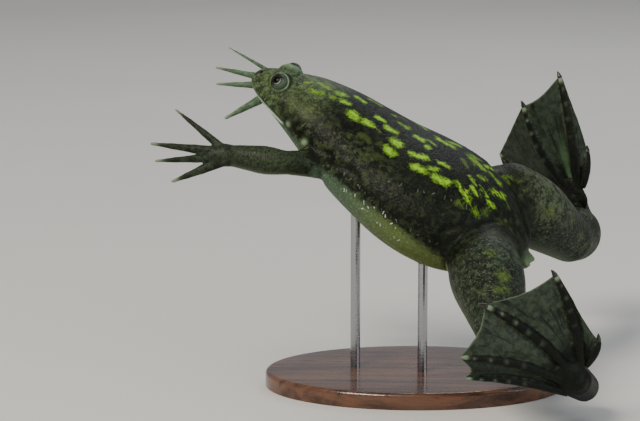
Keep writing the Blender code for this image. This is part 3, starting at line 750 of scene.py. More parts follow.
points = toFrog(coords(body.data))
footRoots = [limbs[side]["foot"] for side in limbs]
fromRoot = nearestOf(points, footRoots + [limbs[side]["wrist"] for side in limbs])
fromEye = distance(mirrored(points), head["eye"])
lidSkirt = ramp(fromEye, 3.1, 3.5) * (1 - ramp(fromEye, 5.2, 6.2))
seams = (1 - ramp(fromRoot, 5.5, 8.5)) * (1 - 0.8 * readAttribute(body.data, "web"))
relax(body.data, 0.5 * seams, 5, False)
relax(body.data, 0.5 * lidSkirt, 12, True)
relax(body.data, 0.3 * lidSkirt, 2, False)
print("skin", len(body.data.vertices))

print("stage: creases")

creases = {
    # folds of skin as points along them: over the near thigh, between the rump and the far thigh, above
    # and below the shoulder
    "folds": (((22.6, 23.6, 3.2), (21.1, 21.1, 6.0), (17.5, 17.7, 7.8), (12.8, 12.3, 9.3), (10.4, 9.0, 9.6)),
              ((12.1, -10.3, 9.8), (10.9, -8.7, 9.9), (8.3, -5.4, 9.4), (4.9, -2.4, 7.7), (1.6, -0.9, 4.9)),
              ((73.5, 15.4, 3.2), (69.5, 16.9, 3.0), (66.4, 17.7, 4.0), (62.6, 18.3, 4.9)),
              ((66.5, 18.4, 0.8), (64.3, 18.7, 1.9), (60.2, 19.7, 3.2), (56.1, 19.9, 4.6),
               (52.6, 20.6, 4.5))),
    # half width of a fold, centre and radius of the hollow in front of the near thigh, depth of them all
    "foldWidth": 0.85, "hollow": (20.6, 23.0, 0.6), "hollowSize": 3.2, "depth": 0.9,
    # limbs that meet the trunk in a valley, each with the strength and the half width of the valley
    "valleys": (("hip", "knee", "thigh", 1.0), ("shoulder", "elbow", "upperArm", 0.7)), "valleyWidth": 1.0,
}


def trunkOval(points):
    # how far outside the trunk's own oval each point is, 1 on its skin, and how far from its centre line
    half, top, bottom, widest = trunkSize(points[:, 0])
    y, z = points[:, 1], points[:, 2] - widest
    tall = np.where(z > 0, top - widest, widest - bottom)
    return np.hypot(y / np.maximum(half, 0.5), z / np.maximum(tall, 0.5)), np.hypot(y, z)


def valleyMask(points):
    # the valley where a point is as far outside the trunk's oval as outside the limb's tube
    oval, out = trunkOval(points)
    offTrunk = out * (1 - 1 / np.maximum(oval, 0.05))
    mask = np.zeros(len(points))
    for side in limbs:
        # none on top of the near thigh behind the fold, where the rump runs into it
        onTop = (side == "left") & (points[:, 2] > 3) & (points[:, 0] < 30)
        for start, end, girth, strength in creases["valleys"]:
            t, out = nearestOn(points, limbs[side][start], limbs[side][end])
            offLimb = out - np.interp(t, np.linspace(0, 1, len(girths[girth])), girths[girth])
            here = bell(offTrunk, offLimb, creases["valleyWidth"]) * strength
            here = here * (1 - ramp(offTrunk, 3.0, 5.0)) * ramp(offTrunk, -0.6, 0.2)
            mask = np.maximum(mask, here * np.where(onTop, ramp(points[:, 0], 9, 12), 1))
    return mask


def foldMask(points):
    # falls off with the distance to the nearest stretch of a fold
    pairs = [pair for line in creases["folds"] for pair in zip(line[:-1], line[1:])]
    nearest = np.min([nearestOn(points, a, b)[1] for a, b in pairs], axis=0)
    hollow = bell(distance(points, creases["hollow"]), 0, creases["hollowSize"])
    return np.maximum(bell(nearest, 0, creases["foldWidth"]), hollow)


points = toFrog(coords(body.data))
# the same folds, valleys and hollow are also painted dark as shade with the skin's marks
fold = np.maximum(valleyMask(points), foldMask(points))
outward = normals(body.data) @ axes.T
setCoords(body.data, toScene(points - outward * (creases["depth"] * fold)[:, None]))
relax(body.data, 0.4 * (fold > 0.15), 2, False)

print("stage: markings")

marks = {
    # each yellow blotch on the back: x and y of its two ends, half width, strength
    "blotches": np.array((
        (94.5, 2.5, 94, 3, 0.4, 0.35), (93.5, 4.5, 93, 4, 0.7, 0.45), (92, 1.5, 91, 2, 0.5, 0.45),
        (82.5, 1.5, 81, 0.5, 0.8, 0.6), (79, -0.5, 75.5, 0, 0.9, 0.6), (79, 4.5, 76.5, 4, 1.1, 0.65),
        (76, 10.5, 75.5, 10.5, 1.7, 0.3), (73.5, 3.5, 72, 3.5, 0.9, 0.6), (72.5, 0, 70.5, -0.5, 1.1, 0.85),
        (69.5, 3, 68, 2.5, 1.1, 0.9), (68, 13, 67.5, 13, 1.1, 0.3), (67.5, -3.5, 64.5, -3.5, 0.8, 0.9),
        (65, 5.5, 63.5, 6, 1.7, 1), (64.5, -8.5, 60.5, -9, 0.8, 0.75), (61.5, 12.5, 61, 12.5, 0.9, 0.3),
        (60, 5, 58, 5, 1.2, 1), (58.5, -0.5, 56.5, -0.5, 1.1, 1), (58, 11, 56, 11, 1.2, 0.4),
        (56, -7.5, 55, -8, 0.8, 0.65), (55.5, 5, 55, 5, 0.6, 0.55), (54.5, 16, 50, 14.5, 1.2, 0.3),
        (53.5, 1.5, 51.5, 1, 1.3, 1), (52.5, 10, 52, 10, 0.8, 0.4), (52, -5.5, 51.5, -5.5, 0.8, 0.65),
        (50, -5.5, 49.5, -5, 1.1, 0.7), (49.5, 5.5, 48, 5.5, 1.7, 1), (49.5, 10, 47.5, 10.5, 1.4, 0.95),
        (49, -14.5, 45, -12, 0.7, 0.75), (45.5, -3, 43.5, -2.5, 1.2, 0.95), (42.5, 7, 39, 5.5, 1.4, 1),
        (41.5, -4.5, 39.5, -3.5, 0.5, 0.75), (41, -0.5, 40.5, 0, 1, 0.95), (40.5, -9, 37, -8.5, 1.2, 0.9),
        (39.5, 11.5, 37, 11, 1.4, 1), (36.5, -11.5, 34.5, -13, 1.4, 0.75), (35.5, 8.5, 34, 8, 1, 0.8),
        (35, 4, 31.5, 4, 0.8, 0.9), (32.5, 11, 29, 10.5, 1.4, 0.95), (30, -4, 27.5, -1.5, 0.8, 0.5),
        (29.5, -11, 26.5, -11.5, 0.8, 0.6), (28.5, -9, 24, -6.5, 1.5, 0.7), (26.5, 8, 24, 9.5, 0.7, 0.9),
        (25, 2, 21.5, 4, 0.5, 0.75), (23, 9.5, 20.5, 11.5, 0.9, 0.95), (23, 14, 21.5, 15, 0.8, 0.5),
        (22, -1.5, 21.5, -1.5, 1.1, 0.7), (22, 6, 20, 7, 1, 0.9), (21.5, -7.5, 17, -5.5, 0.7, 0.7),
        (20.5, 3.5, 17, 4.5, 0.4, 0.8), (17.5, 12.5, 16, 13, 1, 0.6), (16.5, 0.5, 14, -0.5, 1.3, 0.9),
        (16, 6.5, 14, 7, 0.8, 0.9), (15, 10.5, 15, 10, 1.1, 0.5), (12.5, -0.5, 10.5, 1, 0.5, 0.5),
        (10.5, 9.5, 10, 9.5, 1, 0.4), (9, 6.5, 6.5, 7, 0.5, 0.5), (6, 2.5, 5.5, 1.5, 0.8, 0.3))),
    # faint blotches on the thighs: centre, half width, strength
    "thighSpots": np.array((
        (5.9, 28.2, 9.8, 1.8, 0.56), (-1.3, 34.7, 10.0, 2.2, 0.66), (-3.1, 39.5, 9.4, 2.1, 0.60),
        (8.8, 16.0, 9.9, 1.2, 0.4), (7.2, 20.5, 9.6, 0.8, 0.3),
        (1.0, -20.1, 4.7, 1.5, 0.70), (4.6, -22.4, 9.1, 1.3, 0.5), (13.1, -14.1, 11.6, 1.0, 0.45),
        (10.0, -12.7, 10.8, 1.0, 0.5), (5.8, -14.7, 8.6, 0.9, 0.45), (0.7, -27.6, 5.8, 1.0, 0.4),
        (-10.0, -36.8, -7.3, 1.5, 0.45), (-5.2, -30.4, -1.0, 1.2, 0.4))),
    # x of points along the flank, and the height there below which the skin is pale
    "paleLine": ((0, 10, 21.6, 32.4, 43, 52.7, 62.7, 70, 74, 78, 82.5, 98),
                 (-5, -4.0, -1.6, 0.6, 1.2, 1.2, 1.0, 1.2, 2.2, 2.8, 2.6, 2.0)),
    # pale discs: centre, radius, strength, and whether both sides of the body have one; the first, on the
    # knob behind the mouth, is a painted highlight
    "discs": (((79.4, 13.7, 3.3), 0.9, 0.8, True), ((72.2, 16.1, 2.4), 1.05, 0.85, True),
              ((3.7, 32.6, 9.3), 0.55, 0.9, False)),
    # the far foot lets light through a strip of web: half width near the root and further out, place across
    "strip": (0.37, 0.13, 1.10),
    # centre, radius and strength of painted shade on the near hip
    "hipPaintedShade": ((9.0, 14.5, 10.0), 5.0, 0.55),
    # ragged outlines: how far noise of each wavelength pushes the skin about
    "wobble": ((0.25, 5.2), (0.2, 2.6), (0.14, 1.3)),
    # a limb starts this far outside the trunk's oval, and is all limb there, behind and ahead of an x
    "limbFrom": 1.08, "limbFull": (1.9, 1.35), "ribs": 30,
}
headPaint = {
    # distance from the axis of the eyelid and half width: its pale edge, the shade outside it
    "lidEdge": (2.82, 0.16), "lidShade": (3.5, 0.45), "rearOfEye": (-0.84, -0.4, 0.37),
    # height over the mouth line and half width: the dark line painted as shade in the groove between the
    # lips, the pale lower lip
    "mouth": (0.0, 0.28), "lowerLip": (-0.7, 0.4),
    # x and half width, z and half width of the two mottled patches of the cheek
    "cheeks": (((81.6, 2.6), (8.6, 2.4)), ((76.0, 2.8), (9.3, 2.0))),
    # the dark stripe behind the eye: its x at a height, its slant, its half width
    "stripe": (83.8, 6.0, 0.45, 1.9),
    # radii where the dark ring round the knob and the pit of the nostril start to fade and end; the pit is
    # painted near black as shade
    "knobRing": (1.5, 2.6), "pit": (0.5, 0.75),
}


def onBack(x, y):
    # z of the trunk's upper skin at x and y, from the same powers as its rings
    half, top, bottom, widest = trunkSize(x)
    cosine = np.clip(np.abs(y) / half, 0, 0.999) ** (1 / trunk["powers"][0])
    return widest + (top - widest) * np.sqrt(1 - cosine**2) ** trunk["powers"][1]


def wobble(points):
    # sums of sines in three directions push each point about, so that outlines come out ragged
    moved = points.copy()
    for size, wave in marks["wobble"]:
        for k in range(3):
            lean = dice.normal(0, 1, (3, 3))
            lean = unit(lean) * 2 * np.pi / wave
            moved[:, k] += size * np.sin(points @ lean.T + dice.uniform(0, 6, 3)).sum(1) / 1.7
    return moved


def blotchField(points):
    # 1 - distance to the nearer blotch over its half width, and the strength of that blotch
    points = wobble(points)
    seen = marks["blotches"]
    # the far side repeats the blotches of the near one, mirrored and shifted, where there is room
    hidden = seen[(seen[:, 1] > 4) & (seen[:, 0] < 90)] * (1, -1, 1, -1, 1, 1)
    hidden[:, :4] += dice.uniform(-0.9, 0.9, (len(hidden), 4))
    middle = (hidden[:, :2] + hidden[:, 2:4]) / 2
    crowd = np.linalg.norm(middle[:, None] - ((seen[:, :2] + seen[:, 2:4]) / 2)[None], axis=-1).min(1)
    hidden = hidden[(crowd > 3.4) & (middle[:, 1] < -8)]
    field, strength = np.full(len(points), -9.0), np.zeros(len(points))
    found = []
    for x1, y1, x2, y2, size, own in np.vstack((seen, hidden)):
        heights = onBack(np.array((x1, x2)), np.array((y1, y2)))
        out = nearestOn(points, (x1, y1, heights[0]), (x2, y2, heights[1]))[1]
        # blotches on the rump are larger
        found.append((1 - out / (size * (1.6 if x1 < 34 else 1.25) + 0.3), own))
    for x, y, z, size, own in marks["thighSpots"]:
        found.append((1 - distance(points, (x, y, z)) / (size * 1.5), own))
    for value, own in found:
        strength = np.where(value > field, own, strength)
        field = np.maximum(field, value)
    return field, strength


def mostOf(*masks):
    # the strongest of several masks at each point
    return np.max(np.broadcast_arrays(*masks), axis=0)


def headMarks(points, onTrunk):
    # onTrunk is 1 on the trunk and head, 0 on the limbs
    x, y, z = points.T
    folded = mirrored(points)
    above, behind = mouthDistance(points)
    fromLidAxis = np.linalg.norm(np.cross(folded - head["eye"], unit(head["lidAxis"])), axis=1)
    rearOfEye = (folded - head["eye"]) @ headPaint["rearOfEye"]
    lidEdge = bell(fromLidAxis, *headPaint["lidEdge"]) * (fromEye < 3.6)
    lidEdge = lidEdge * (0.1 + 0.9 * ramp(rearOfEye, 0.2, 2.2))
    lidShade = bell(fromLidAxis, *headPaint["lidShade"]) * (fromEye < 4.6) * ramp(-x, -89.5, -87.0)
    knobRing = 1 - ramp(distance(folded, head["knob"]), *headPaint["knobRing"])
    place, height, slant, width = headPaint["stripe"]
    stripe = bell(x - slant * (z - height), place, width) * ramp(z, 2.8, 3.8) * (1 - ramp(z, 6.8, 8.8))
    cheek = sum(bell(x, *alongX) * bell(z, *alongZ) for alongX, alongZ in headPaint["cheeks"])
    lowerLip = bell(above, *headPaint["lowerLip"]) * bell(behind, 0, 2.0) * ramp(x, 80.2, 82.2)
    return {
        "mouth": bell(above, *headPaint["mouth"]) * bell(behind, 0, 1.0) * (x > 78) * onTrunk,
        "lip": lowerLip * onTrunk * (0.55 + 0.45 * ramp(-x, -92, -87)),
        "lidEdge": mostOf(lidEdge, 0.45 * (1 - ramp(fromEye, 3.6, 4.8)) * (y < 0)),
        "pit": 1 - ramp(distance(folded, head["nostril"]), *headPaint["pit"]),
        "cheek": np.clip(cheek, 0, 1) * (np.abs(y) > 5) * onTrunk,
        "dark": mostOf(lidShade, knobRing, 0.75 * stripe * (np.abs(y) > 6)) * onTrunk,
    }


def footMarks(mesh, points):
    web, along, across, spots = (readAttribute(mesh, name) for name in ("web", "along", "across", "spots"))
    fromFoot = nearestOf(points, footRoots)
    heel = np.min([nearestOn(points, joint["ankle"], joint["foot"])[1] for joint in limbs.values()], axis=0)
    onToe = (along > 0) * (1 - ramp(web, 0.02, 0.4))
    root = 1 - ramp(fromFoot, 9.0, 14.0)
    inner, outer, place = marks["strip"]
    wide = outer + (inner - outer) * np.clip(1 - along / 0.6, 0, 1)
    strip = np.exp(-((across - place - wide) / wide) ** 4) * (1 - ramp(along, 0.12, 0.66))
    strip = strip * (along > 0) * (points[:, 1] < -20) * web
    toe = mostOf(onToe, root * ((along + web > 0) | (fromFoot < 8.5)), 0.9 * (1 - ramp(heel, 6, 14)))
    return {
        "along": along, "across": across, "spots": spots, "strip": strip,
        "web": mostOf(web * (1 - root), strip), "toe": toe * (1 - 0.9 * strip),
        "rim": web * ramp(along, 0.984, 0.997), "tips": onToe * ramp(along, 0.93, 0.97),
    }


def skinMarksOf(mesh):
    points = toFrog(coords(mesh))
    outward = normals(mesh) @ axes.T
    x, y, z = points.T
    # a limb starts a little outside the trunk's own oval, more slowly at the hips than at the shoulders
    full = np.where(x < marks["ribs"], *marks["limbFull"])
    limb = mostOf(ramp(trunkOval(points)[0], marks["limbFrom"], full), (x < -3) | (x > 99))
    limb = np.where(fromEye < 6, 0, limb)
    found = headMarks(points, 1 - limb)
    foot = footMarks(mesh, points)
    field, strength = blotchField(points)
    belly = ramp(np.interp(x, *marks["paleLine"]) - z, -1.6, 3.4) * (1 - limb)
    fromAnkle = nearestOf(points, [joint["ankle"] for joint in limbs.values()])
    under = ramp(-outward[:, 2], 0.15, 0.85) * limb * (1 - readAttribute(mesh, "web"))
    under = under * (0.25 + 0.75 * ramp(fromAnkle, 12, 24)) * ramp(nearestOf(points, footRoots), 7.0, 12.0)
    fingers = nearestOf(points, hands["left"] + hands["right"])
    pale = [top * bell(distance(mirrored(points) if both else points, spot), 0, size)
            for spot, size, top, both in marks["discs"]]
    ventFolds = 0.5 * (1 - ramp(x, -2.5, 0.5)) * (np.abs(y) < 4.5) * (np.abs(z + 2.5) < 4.5)
    # painted shade on the near hip
    spot, size, top = marks["hipPaintedShade"]
    found.update(foot)
    found.update({
        "blotch": field, "strength": strength, "belly": belly, "under": under, "limb": limb,
        "deep": ramp(-outward[:, 2], 0.72, 0.97) * belly, "hand": ramp(x, 82, 90) * limb,
        "tips": mostOf(foot["tips"], 1 - ramp(fingers, 0.5, 3.2)), "pale": mostOf(*pale, ventFolds),
        # painted shade: the near hip, and the folds, valleys and hollow of the creases
        "dark": mostOf(found["dark"], top * bell(distance(points, spot), 0, size), 0.95 * fold),
    })
    return points, found


points, skinMarks = skinMarksOf(body.data)
addAttribute(body.data, "frog", points)
for name, values in skinMarks.items():
    addAttribute(body.data, name, values)
if "sharp_face" in body.data.attributes:
    body.data.attributes.remove(body.data.attributes["sharp_face"])
body.data.shade_smooth()

skinLook = {
    # scale per millimetre and detail of the noises: clouds, mottling, specks, grain
    "noises": ((0.16, 3.0), (0.55, 4.0), (1.7, 3.0), (4.5, 2.0)),
    # per millimetre: warts, meshes of the net, waves of the ragged edges, pores; how far the net is bent
    "warts": 0.62, "net": 0.25, "ragged": 0.9, "pores": 1.15, "netBend": (2.4, 2.4, 2.4),
    # streaks over the rump: how fast they change across it, from x and from y, and along it
    "streakAcross": (0.6325, 1.15), "streakAlong": 0.22,
    # veins of the web: how fast they change from toe to toe and along the toe
    "veins": (8.0, 2.5),
    # the whole skin is held down and towards green; roughness between specks and on them; relief in mm
    "tint": (0.64, 0.77, 0.66, 1.0), "roughness": (0.46, 0.66), "relief": 0.35,
}
# wet frog skin: near-black olive, yellow blotches over the back, pale belly, grey webs; pores catch the light
skin, tree, shader = newMaterial("wet_frog_skin")
frogAt = addNode(tree, "Attribute", {"attribute_name": "frog"}, output="Vector")
get = {name: addNode(tree, "Attribute", {"attribute_name": name}, output="Fac") for name in skinMarks}
wide, middle, fine, grain = (
    addNode(tree, "TexNoise", inputs={"Vector": frogAt, "Scale": scale, "Detail": detail, "Roughness": 0.6})
    for scale, detail in skinLook["noises"])
rear, sideways, upwards = (addNode(tree, "SeparateXYZ", inputs={"Vector": frogAt}, output=k) for k in "XYZ")

snout = painted(tree, "#383e2c", ("#6a7450", (middle, 0.40, 0.60)), ("#98a478", (fine, 0.54, 0.68, 0.7)))
nape = product(tree, (rear, 66.0, 80.0, 0.8), (upwards, 9.5, 12.0))
nape = addNode(tree, "Math", {"operation": "MAXIMUM"}, {0: product(tree, (rear, 78.0, 88.0, 0.8)), 1: nape})
cheekTone = painted(tree, "#4c5234", ("#6c724c", (fine, 0.42, 0.60)))

# warts on the thighs: small pale dots, about every other one left out
warts = addNode(tree, "TexVoronoi", inputs={"Vector": frogAt, "Scale": skinLook["warts"]})
wartChoice = warts.node.outputs["Color"]
# a net of thin grey-green lines, bent by noise, shows through the skin of the legs
bend = addNode(tree, "TexNoise", inputs={"Vector": frogAt, "Scale": 0.35, "Detail": 2.0}, output="Color")
bent = addNode(tree, "VectorMath", {"operation": "MULTIPLY_ADD"},
               {0: bend, 1: skinLook["netBend"], 2: frogAt})
net = addNode(tree, "TexVoronoi", {"feature": "DISTANCE_TO_EDGE"}, {"Vector": bent, "Scale": skinLook["net"]})
# the lighter tone painted onto the top of the far thigh as light
farThighPaintedLight = painted(tree, "#3a3c2c", ("#7f7f64", (middle, 0.42, 0.58)))
upperArm = painted(tree, "#282c22", ("#4f553c", (fine, 0.42, 0.60)))
handTone = painted(tree, "#23241d", ("#3e4338", (middle, 0.40, 0.62)))
farHand = painted(tree, "#5f7059", ("#7c8e74", (middle, 0.40, 0.62)))
limbTone = painted(
    tree, "#1d2019",
    ("#3f4537", (middle, 0.40, 0.64)),
    # painted light and shade: the far thigh is lighter on top and darker below, the near one darker on top
    (farThighPaintedLight, (sideways, -8.0, -16.0, 0.5), (upwards, -3.0, 7.0)),
    ("#12130d", (sideways, -14.0, -24.0, 0.6), (upwards, 2.0, -8.0)),
    ("#171a12", (sideways, 20.0, 28.0, 0.45), (upwards, 4.0, 9.0)),
    ("#888872", (fine, 0.56, 0.66, 0.6), (rear, 60.0, 30.0)),
    ("#92917c", (warts, 0.42, 0.06), (wartChoice, 0.45, 0.75, 0.55), (get["along"], 0.02, 0.0),
     (sideways, 6.0, -4.0, 1.0, 0.35), (rear, 60.0, 30.0)),
    ("#66683a", (wide, 0.58, 0.68, 0.3)),
    (upperArm, (rear, 60.0, 74.0, 0.7)),
    ("#66765d", (net, 0.13, 0.01, 0.34), (middle, 0.42, 0.60), (wide, 0.40, 0.56), (rear, 60.0, 30.0)),
    (handTone, get["hand"], 0.75),
    # the far hand is paler, as the light shines through its thin fingers
    (farHand, get["hand"], (sideways, 2.0, -4.0, 0.9)))

# ragged edges for the blotches; over the rump dark streaks that run aslant to the spine cut them
ragged = addNode(tree, "TexNoise", inputs={
    "Vector": frogAt, "Scale": skinLook["ragged"], "Detail": 3.0, "Roughness": 0.7})
fromX, fromY = skinLook["streakAcross"]
slant = weighted(tree, 0.0, (sideways, fromY), (rear, fromX))
streakAt = addNode(tree, "CombineXYZ", inputs={"X": slant, "Y": product(tree, rear, skinLook["streakAlong"])})
streaks = addNode(tree, "TexNoise", inputs={"Vector": streakAt, "Scale": 1.0, "Detail": 2.0})
cut = product(tree, (streaks, 0.50, 0.62, 0.48), (rear, 38.0, 26.0))
edge = weighted(tree, -0.97, (get["blotch"], 1.0), (ragged, 1.1), (fine, 0.8), (cut, -1.0))
strong = get["strength"]
limbBlotch = painted(tree, "#9a9d6c", ("#73824a", (sideways, -4.0, 6.0)))
yellow = painted(
    tree, "#5c7e18",
    ("#8cbc20", (fine, 0.36, 0.60)),
    ("#b2da34", (edge, 0.40, 0.85)),
    ("#7c8150", (strong, 0.62, 0.42, 0.85)),
    (painted(tree, "#5c6438", (limbBlotch, (fine, 0.40, 0.60))), get["limb"], 0.85))

paleTone = painted(
    tree, "#63745f",
    ("#7c8348", (rear, 58.0, 30.0)),
    ("#55634c", (middle, 0.50, 0.66, 0.6)),
    ("#aeb9a2", (fine, 0.55, 0.68, 0.7)),
    (painted(tree, "#b6b594", ("#8b8d6e", (middle, 0.45, 0.65))), get["deep"], 0.8))
paleMask = weighted(tree, -0.55, (get["belly"], 1.0), (middle, 1.1))

veinAt = addNode(tree, "CombineXYZ", inputs={"X": product(tree, get["across"], skinLook["veins"][0]),
                                             "Y": product(tree, get["along"], skinLook["veins"][1])})
veins = addNode(tree, "TexNoise", inputs={"Vector": veinAt, "Scale": 1.0, "Detail": 3.0})
webTone = painted(
    tree, "#35382f",
    ("#4f5448", (middle, 0.35, 0.65)),
    # painted shade: darker from near the fourth toe outwards, over the fifth and the web between them, and
    # towards the root of the web
    ("#171914", (get["across"], 2.7, 3.4, 0.65)),
    ("#1c1f18", (get["along"], 0.55, 0.15, 0.6)),
    ("#1d251d", (sideways, -10.0, -20.0, 0.35)),
    ("#181b14", (veins, 0.56, 0.64, 0.75)),
    ("#8b9283", get["rim"], 0.4),
    ("#68855f", get["strip"], 0.75))

colour = painted(
    tree, "#0d0f0a",
    ("#191a13", (wide, 0.38, 0.62)),
    # mottling, stronger on the flank and towards the head
    ("#464b30", (middle, 0.46, 0.62, 0.9), (upwards, 12.5, 9.5, 1.0, 0.25), (rear, 36.0, 58.0, 1.0, 0.4)),
    ("#535741", (fine, 0.58, 0.72, 0.45)),
    (snout, nape),
    (cheekTone, get["cheek"], 0.75),
    (limbTone, get["limb"]),
    # olive margin, then yellow towards the middle; faint blotches take the square of their strength
    ("#4f581c", (edge, -0.10, 0.28), strong, strong),
    (yellow, (edge, 0.08, 0.58), strong, strong),
    # the pale belly is its own colour; it fades in over a wide band, so its upper border under the bulge of
    # the flank stays darker as painted shade
    (paleTone, (paleMask, 0.10, 1.25)),
    ("#7b856a", get["under"], 0.7),
    # painted shade outside the eyelids, in the creases and on the near hip, with the dark ring round the knob
    # and the dark stripe behind the eye
    ("#14150f", get["dark"], 0.85),
    ("#f4ffef", get["lip"], 0.97),
    ("#a3b7a2", get["lidEdge"], 0.8),
    # pale discs and the pale vent folds; the disc on the knob behind the mouth is a painted highlight
    ("#b4c79a", get["pale"], 0.9),
    (webTone, get["web"]),
    ("#10110c", get["toe"], 0.93),
    ("#9fa491", get["spots"], 0.62),
    ("#a3ab93", get["tips"], 0.75),
    # painted shade: the dark line in the groove between the lips and the near-black pit of each nostril
    ("#12120d", get["mouth"], 0.9),
    ("#0a0a08", get["pit"]))
colour = addNode(tree, "Mix", {"data_type": "RGBA", "blend_type": "MULTIPLY"},
                 {"Factor": 1.0, mixSockets["below"]: colour, mixSockets["above"]: skinLook["tint"]},
                 mixSockets["result"])
pores = addNode(tree, "TexVoronoi", inputs={"Vector": frogAt, "Scale": skinLook["pores"]})
height = weighted(tree, 0.0, (fine, 0.6), (grain, 0.15), (pores, -0.45), (middle, 0.9))
bump = addNode(tree, "Bump", inputs={"Strength": 0.55, "Distance": skinLook["relief"] * mm, "Height": height})
smooth, rough = skinLook["roughness"]
setInputs(tree, shader, {
    "Base Color": colour, "Normal": bump, "Coat Normal": bump,
    "Roughness": addNode(tree, "MapRange", inputs={"Value": fine, "To Min": smooth, "To Max": rough}),
    "Specular IOR Level": 0.11, "Coat Weight": 0.06, "Coat Roughness": 0.20,
    "Subsurface Weight": 0.10, "Subsurface Radius": (0.8, 0.9, 0.4), "Subsurface Scale": 1.0 * mm})
body.data.materials.clear()
body.data.materials.append(skin)
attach(body, "root")
flesh = [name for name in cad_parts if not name.startswith(("stand_", "eye_", "claw_"))]
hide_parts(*flesh)

print("stage: lateral line")

stitch = {
    # millimetres along the row between two stitches, how far each may shift, share left out
    "spacing": 2.1, "shift": 0.8, "leftOut": 0.42, "start": 0.5,
    # length and half width of a stitch, how its length and its lean vary, how far it sits off the row
    "length": 1.15, "thick": 0.22, "lengths": (0.45, 1.15), "lean": 0.9, "offset": 0.5,
    # the row below the flank is bright, and so are stitches lower than this between these two x
    "brightRow": 1, "brightBelow": 0.3, "brightFrom": 30, "brightTo": 64,
    # rows of the lateral line on the left side: x, y and z along each
    "rows": (((63, 15.3, 8.9), (57.9, 17.4, 7.5), (51.4, 19.3, 6.6), (44.1, 19.5, 7.8), (37.8, 18.7, 9.2),
              (27.6, 15.9, 10.9), (15, 11, 9)),
             ((51.1, 22.1, -0.6), (45.2, 23.3, -0.7), (42.1, 23.9, 0.6), (38.9, 24.3, 0.6),
              (33.3, 24.6, -2.0)),
             ((70, 17.5, 1.0), (62, 20.0, 1.5), (56.2, 20.6, 3.0), (46.4, 22.8, 2.1), (39.5, 24.2, 1.3),
              (26, 23.5, 0.5), (16, 18, 0)),
             ((79, 11.8, 7.6), (75, 13.6, 6.4), (70, 16.0, 4.6), (65, 18.4, 3.4), (60, 20.0, 1.0),
              (52, 22.0, -1.5), (42, 24, -3), (30, 24, -5)),
             ((93.5, 5.6, 4.6), (90, 8.0, 4.6), (85.9, 10.0, 4.6), (81.5, 11.8, 6.4), (77, 12.3, 8.2),
              (70, 13.4, 9.2)),
             ((93.0, 1.9, 8.4), (89.6, 1.2, 9.4), (85.4, 2.6, 11.2), (83.2, 6.0, 10.7), (83.4, 9.2, 8.6),
              (85.6, 9.6, 6.0))),
}
surface = BVHTree.FromObject(body, bpy.context.evaluated_depsgraph_get())


def onSkin(spot):
    # the nearest point of the skin and the direction out of it there
    here, facing, _, _ = surface.find_nearest(Vector(toScene(spot)))
    return toFrog(np.array(here)), np.array(facing) @ axes.T


# small pale welts across each row, each laid on the skin at its two ends and its middle
stitches, bright = [], []
for number, row in enumerate(stitch["rows"]):
    for sign in (1, -1):
        path = np.array(row, float) * (1, sign, 1)
        run = np.r_[0, np.cumsum(np.linalg.norm(np.diff(path, axis=0), axis=1))]
        at = np.arange(stitch["start"], run[-1], stitch["spacing"])
        at = at + dice.uniform(-stitch["shift"], stitch["shift"], len(at))
        at = at[dice.random(len(at)) > stitch["leftOut"]]
        centre = curveThrough(run, path, at)
        tangent = unit(curveThrough(run, path, at + 0.2) - centre)
        for spot, ahead in zip(centre, tangent):
            here, facing = onSkin(spot)
            sideways = np.cross(facing, ahead)
            lean = unit(sideways + ahead * dice.uniform(-stitch["lean"], stitch["lean"]))
            size = stitch["length"] * dice.uniform(*stitch["lengths"])
            ends = [here + sideways * dice.uniform(-stitch["offset"], stitch["offset"]) + lean * size * k
                    for k in (-0.5, 0.0, 0.5)]
            radii = np.array((0.8, 1.0, 0.7)) * stitch["thick"]
            stitches.append(limbSkin([onSkin(end)[0] for end in ends], radii, 8, 5, 0.6, lean))
            low = spot[2] < stitch["brightBelow"] and stitch["brightFrom"] < spot[0] < stitch["brightTo"]
            bright.append(np.full(len(stitches[-1][0]), float(number == stitch["brightRow"] or low)))
line = meshPiece("lateral_line", stitches)
addAttribute(line.data, "bright", np.concatenate(bright))
# raised sense organs: dull whitish-green skin, a little uneven, brighter on the belly
welt, tree, shader = newMaterial("pale_skin_welts")
place = addNode(tree, "TexCoord", output="Object")
cloudy = addNode(tree, "TexNoise", inputs={"Vector": place, "Scale": 0.4 / mm, "Detail": 2.0})
onBelly = addNode(tree, "Attribute", {"attribute_name": "bright"}, output="Fac")
dull = painted(tree, "#30342a", ("#5f6556", (cloudy, 0.35, 0.65)))
pale = painted(tree, "#8d9a88", ("#c3cdbd", (cloudy, 0.35, 0.65)))
setInputs(tree, shader, {"Base Color": painted(tree, dull, (pale, onBelly)), "Roughness": 0.5,
                         "Specular IOR Level": 0.25, "Coat Weight": 0.06})
line.data.materials.append(welt)
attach(line, "root")

print("stage: eyes, claws and stand")

# glossy eye: large black pupil, thin pale ring, dark iris with faint rings that brighten towards the rear
eyeGloss, tree, shader = newMaterial("eye_gloss")
angle = addNode(tree, "Attribute", {"attribute_name": "angle"}, output="Fac")
rearward = addNode(tree, "Attribute", {"attribute_name": "rearward"}, output="Fac")
place = addNode(tree, "TexCoord", output="Object")
specks = addNode(tree, "TexNoise", inputs={"Vector": place, "Scale": 3.5 / mm, "Detail": 3.0})
rings = addNode(tree, "Math", {"operation": "SINE"}, {0: product(tree, angle, 0.62)})
iris = painted(
    tree, painted(tree, "#12130d", ("#22261d", (specks, 0.40, 0.65))),
    (painted(tree, "#2b342a", ("#485644", (specks, 0.40, 0.65))), rearward),
    ("#7a8c76", (rings, 0.3, 0.95, 0.8), rearward),
    # angles in degrees from the middle of the pupil
    ("#b9bfa6", (angle, 32.0, 30.0), (angle, 25.5, 27.0), rearward),
    ("#030303", (angle, 23.5, 21.5)))
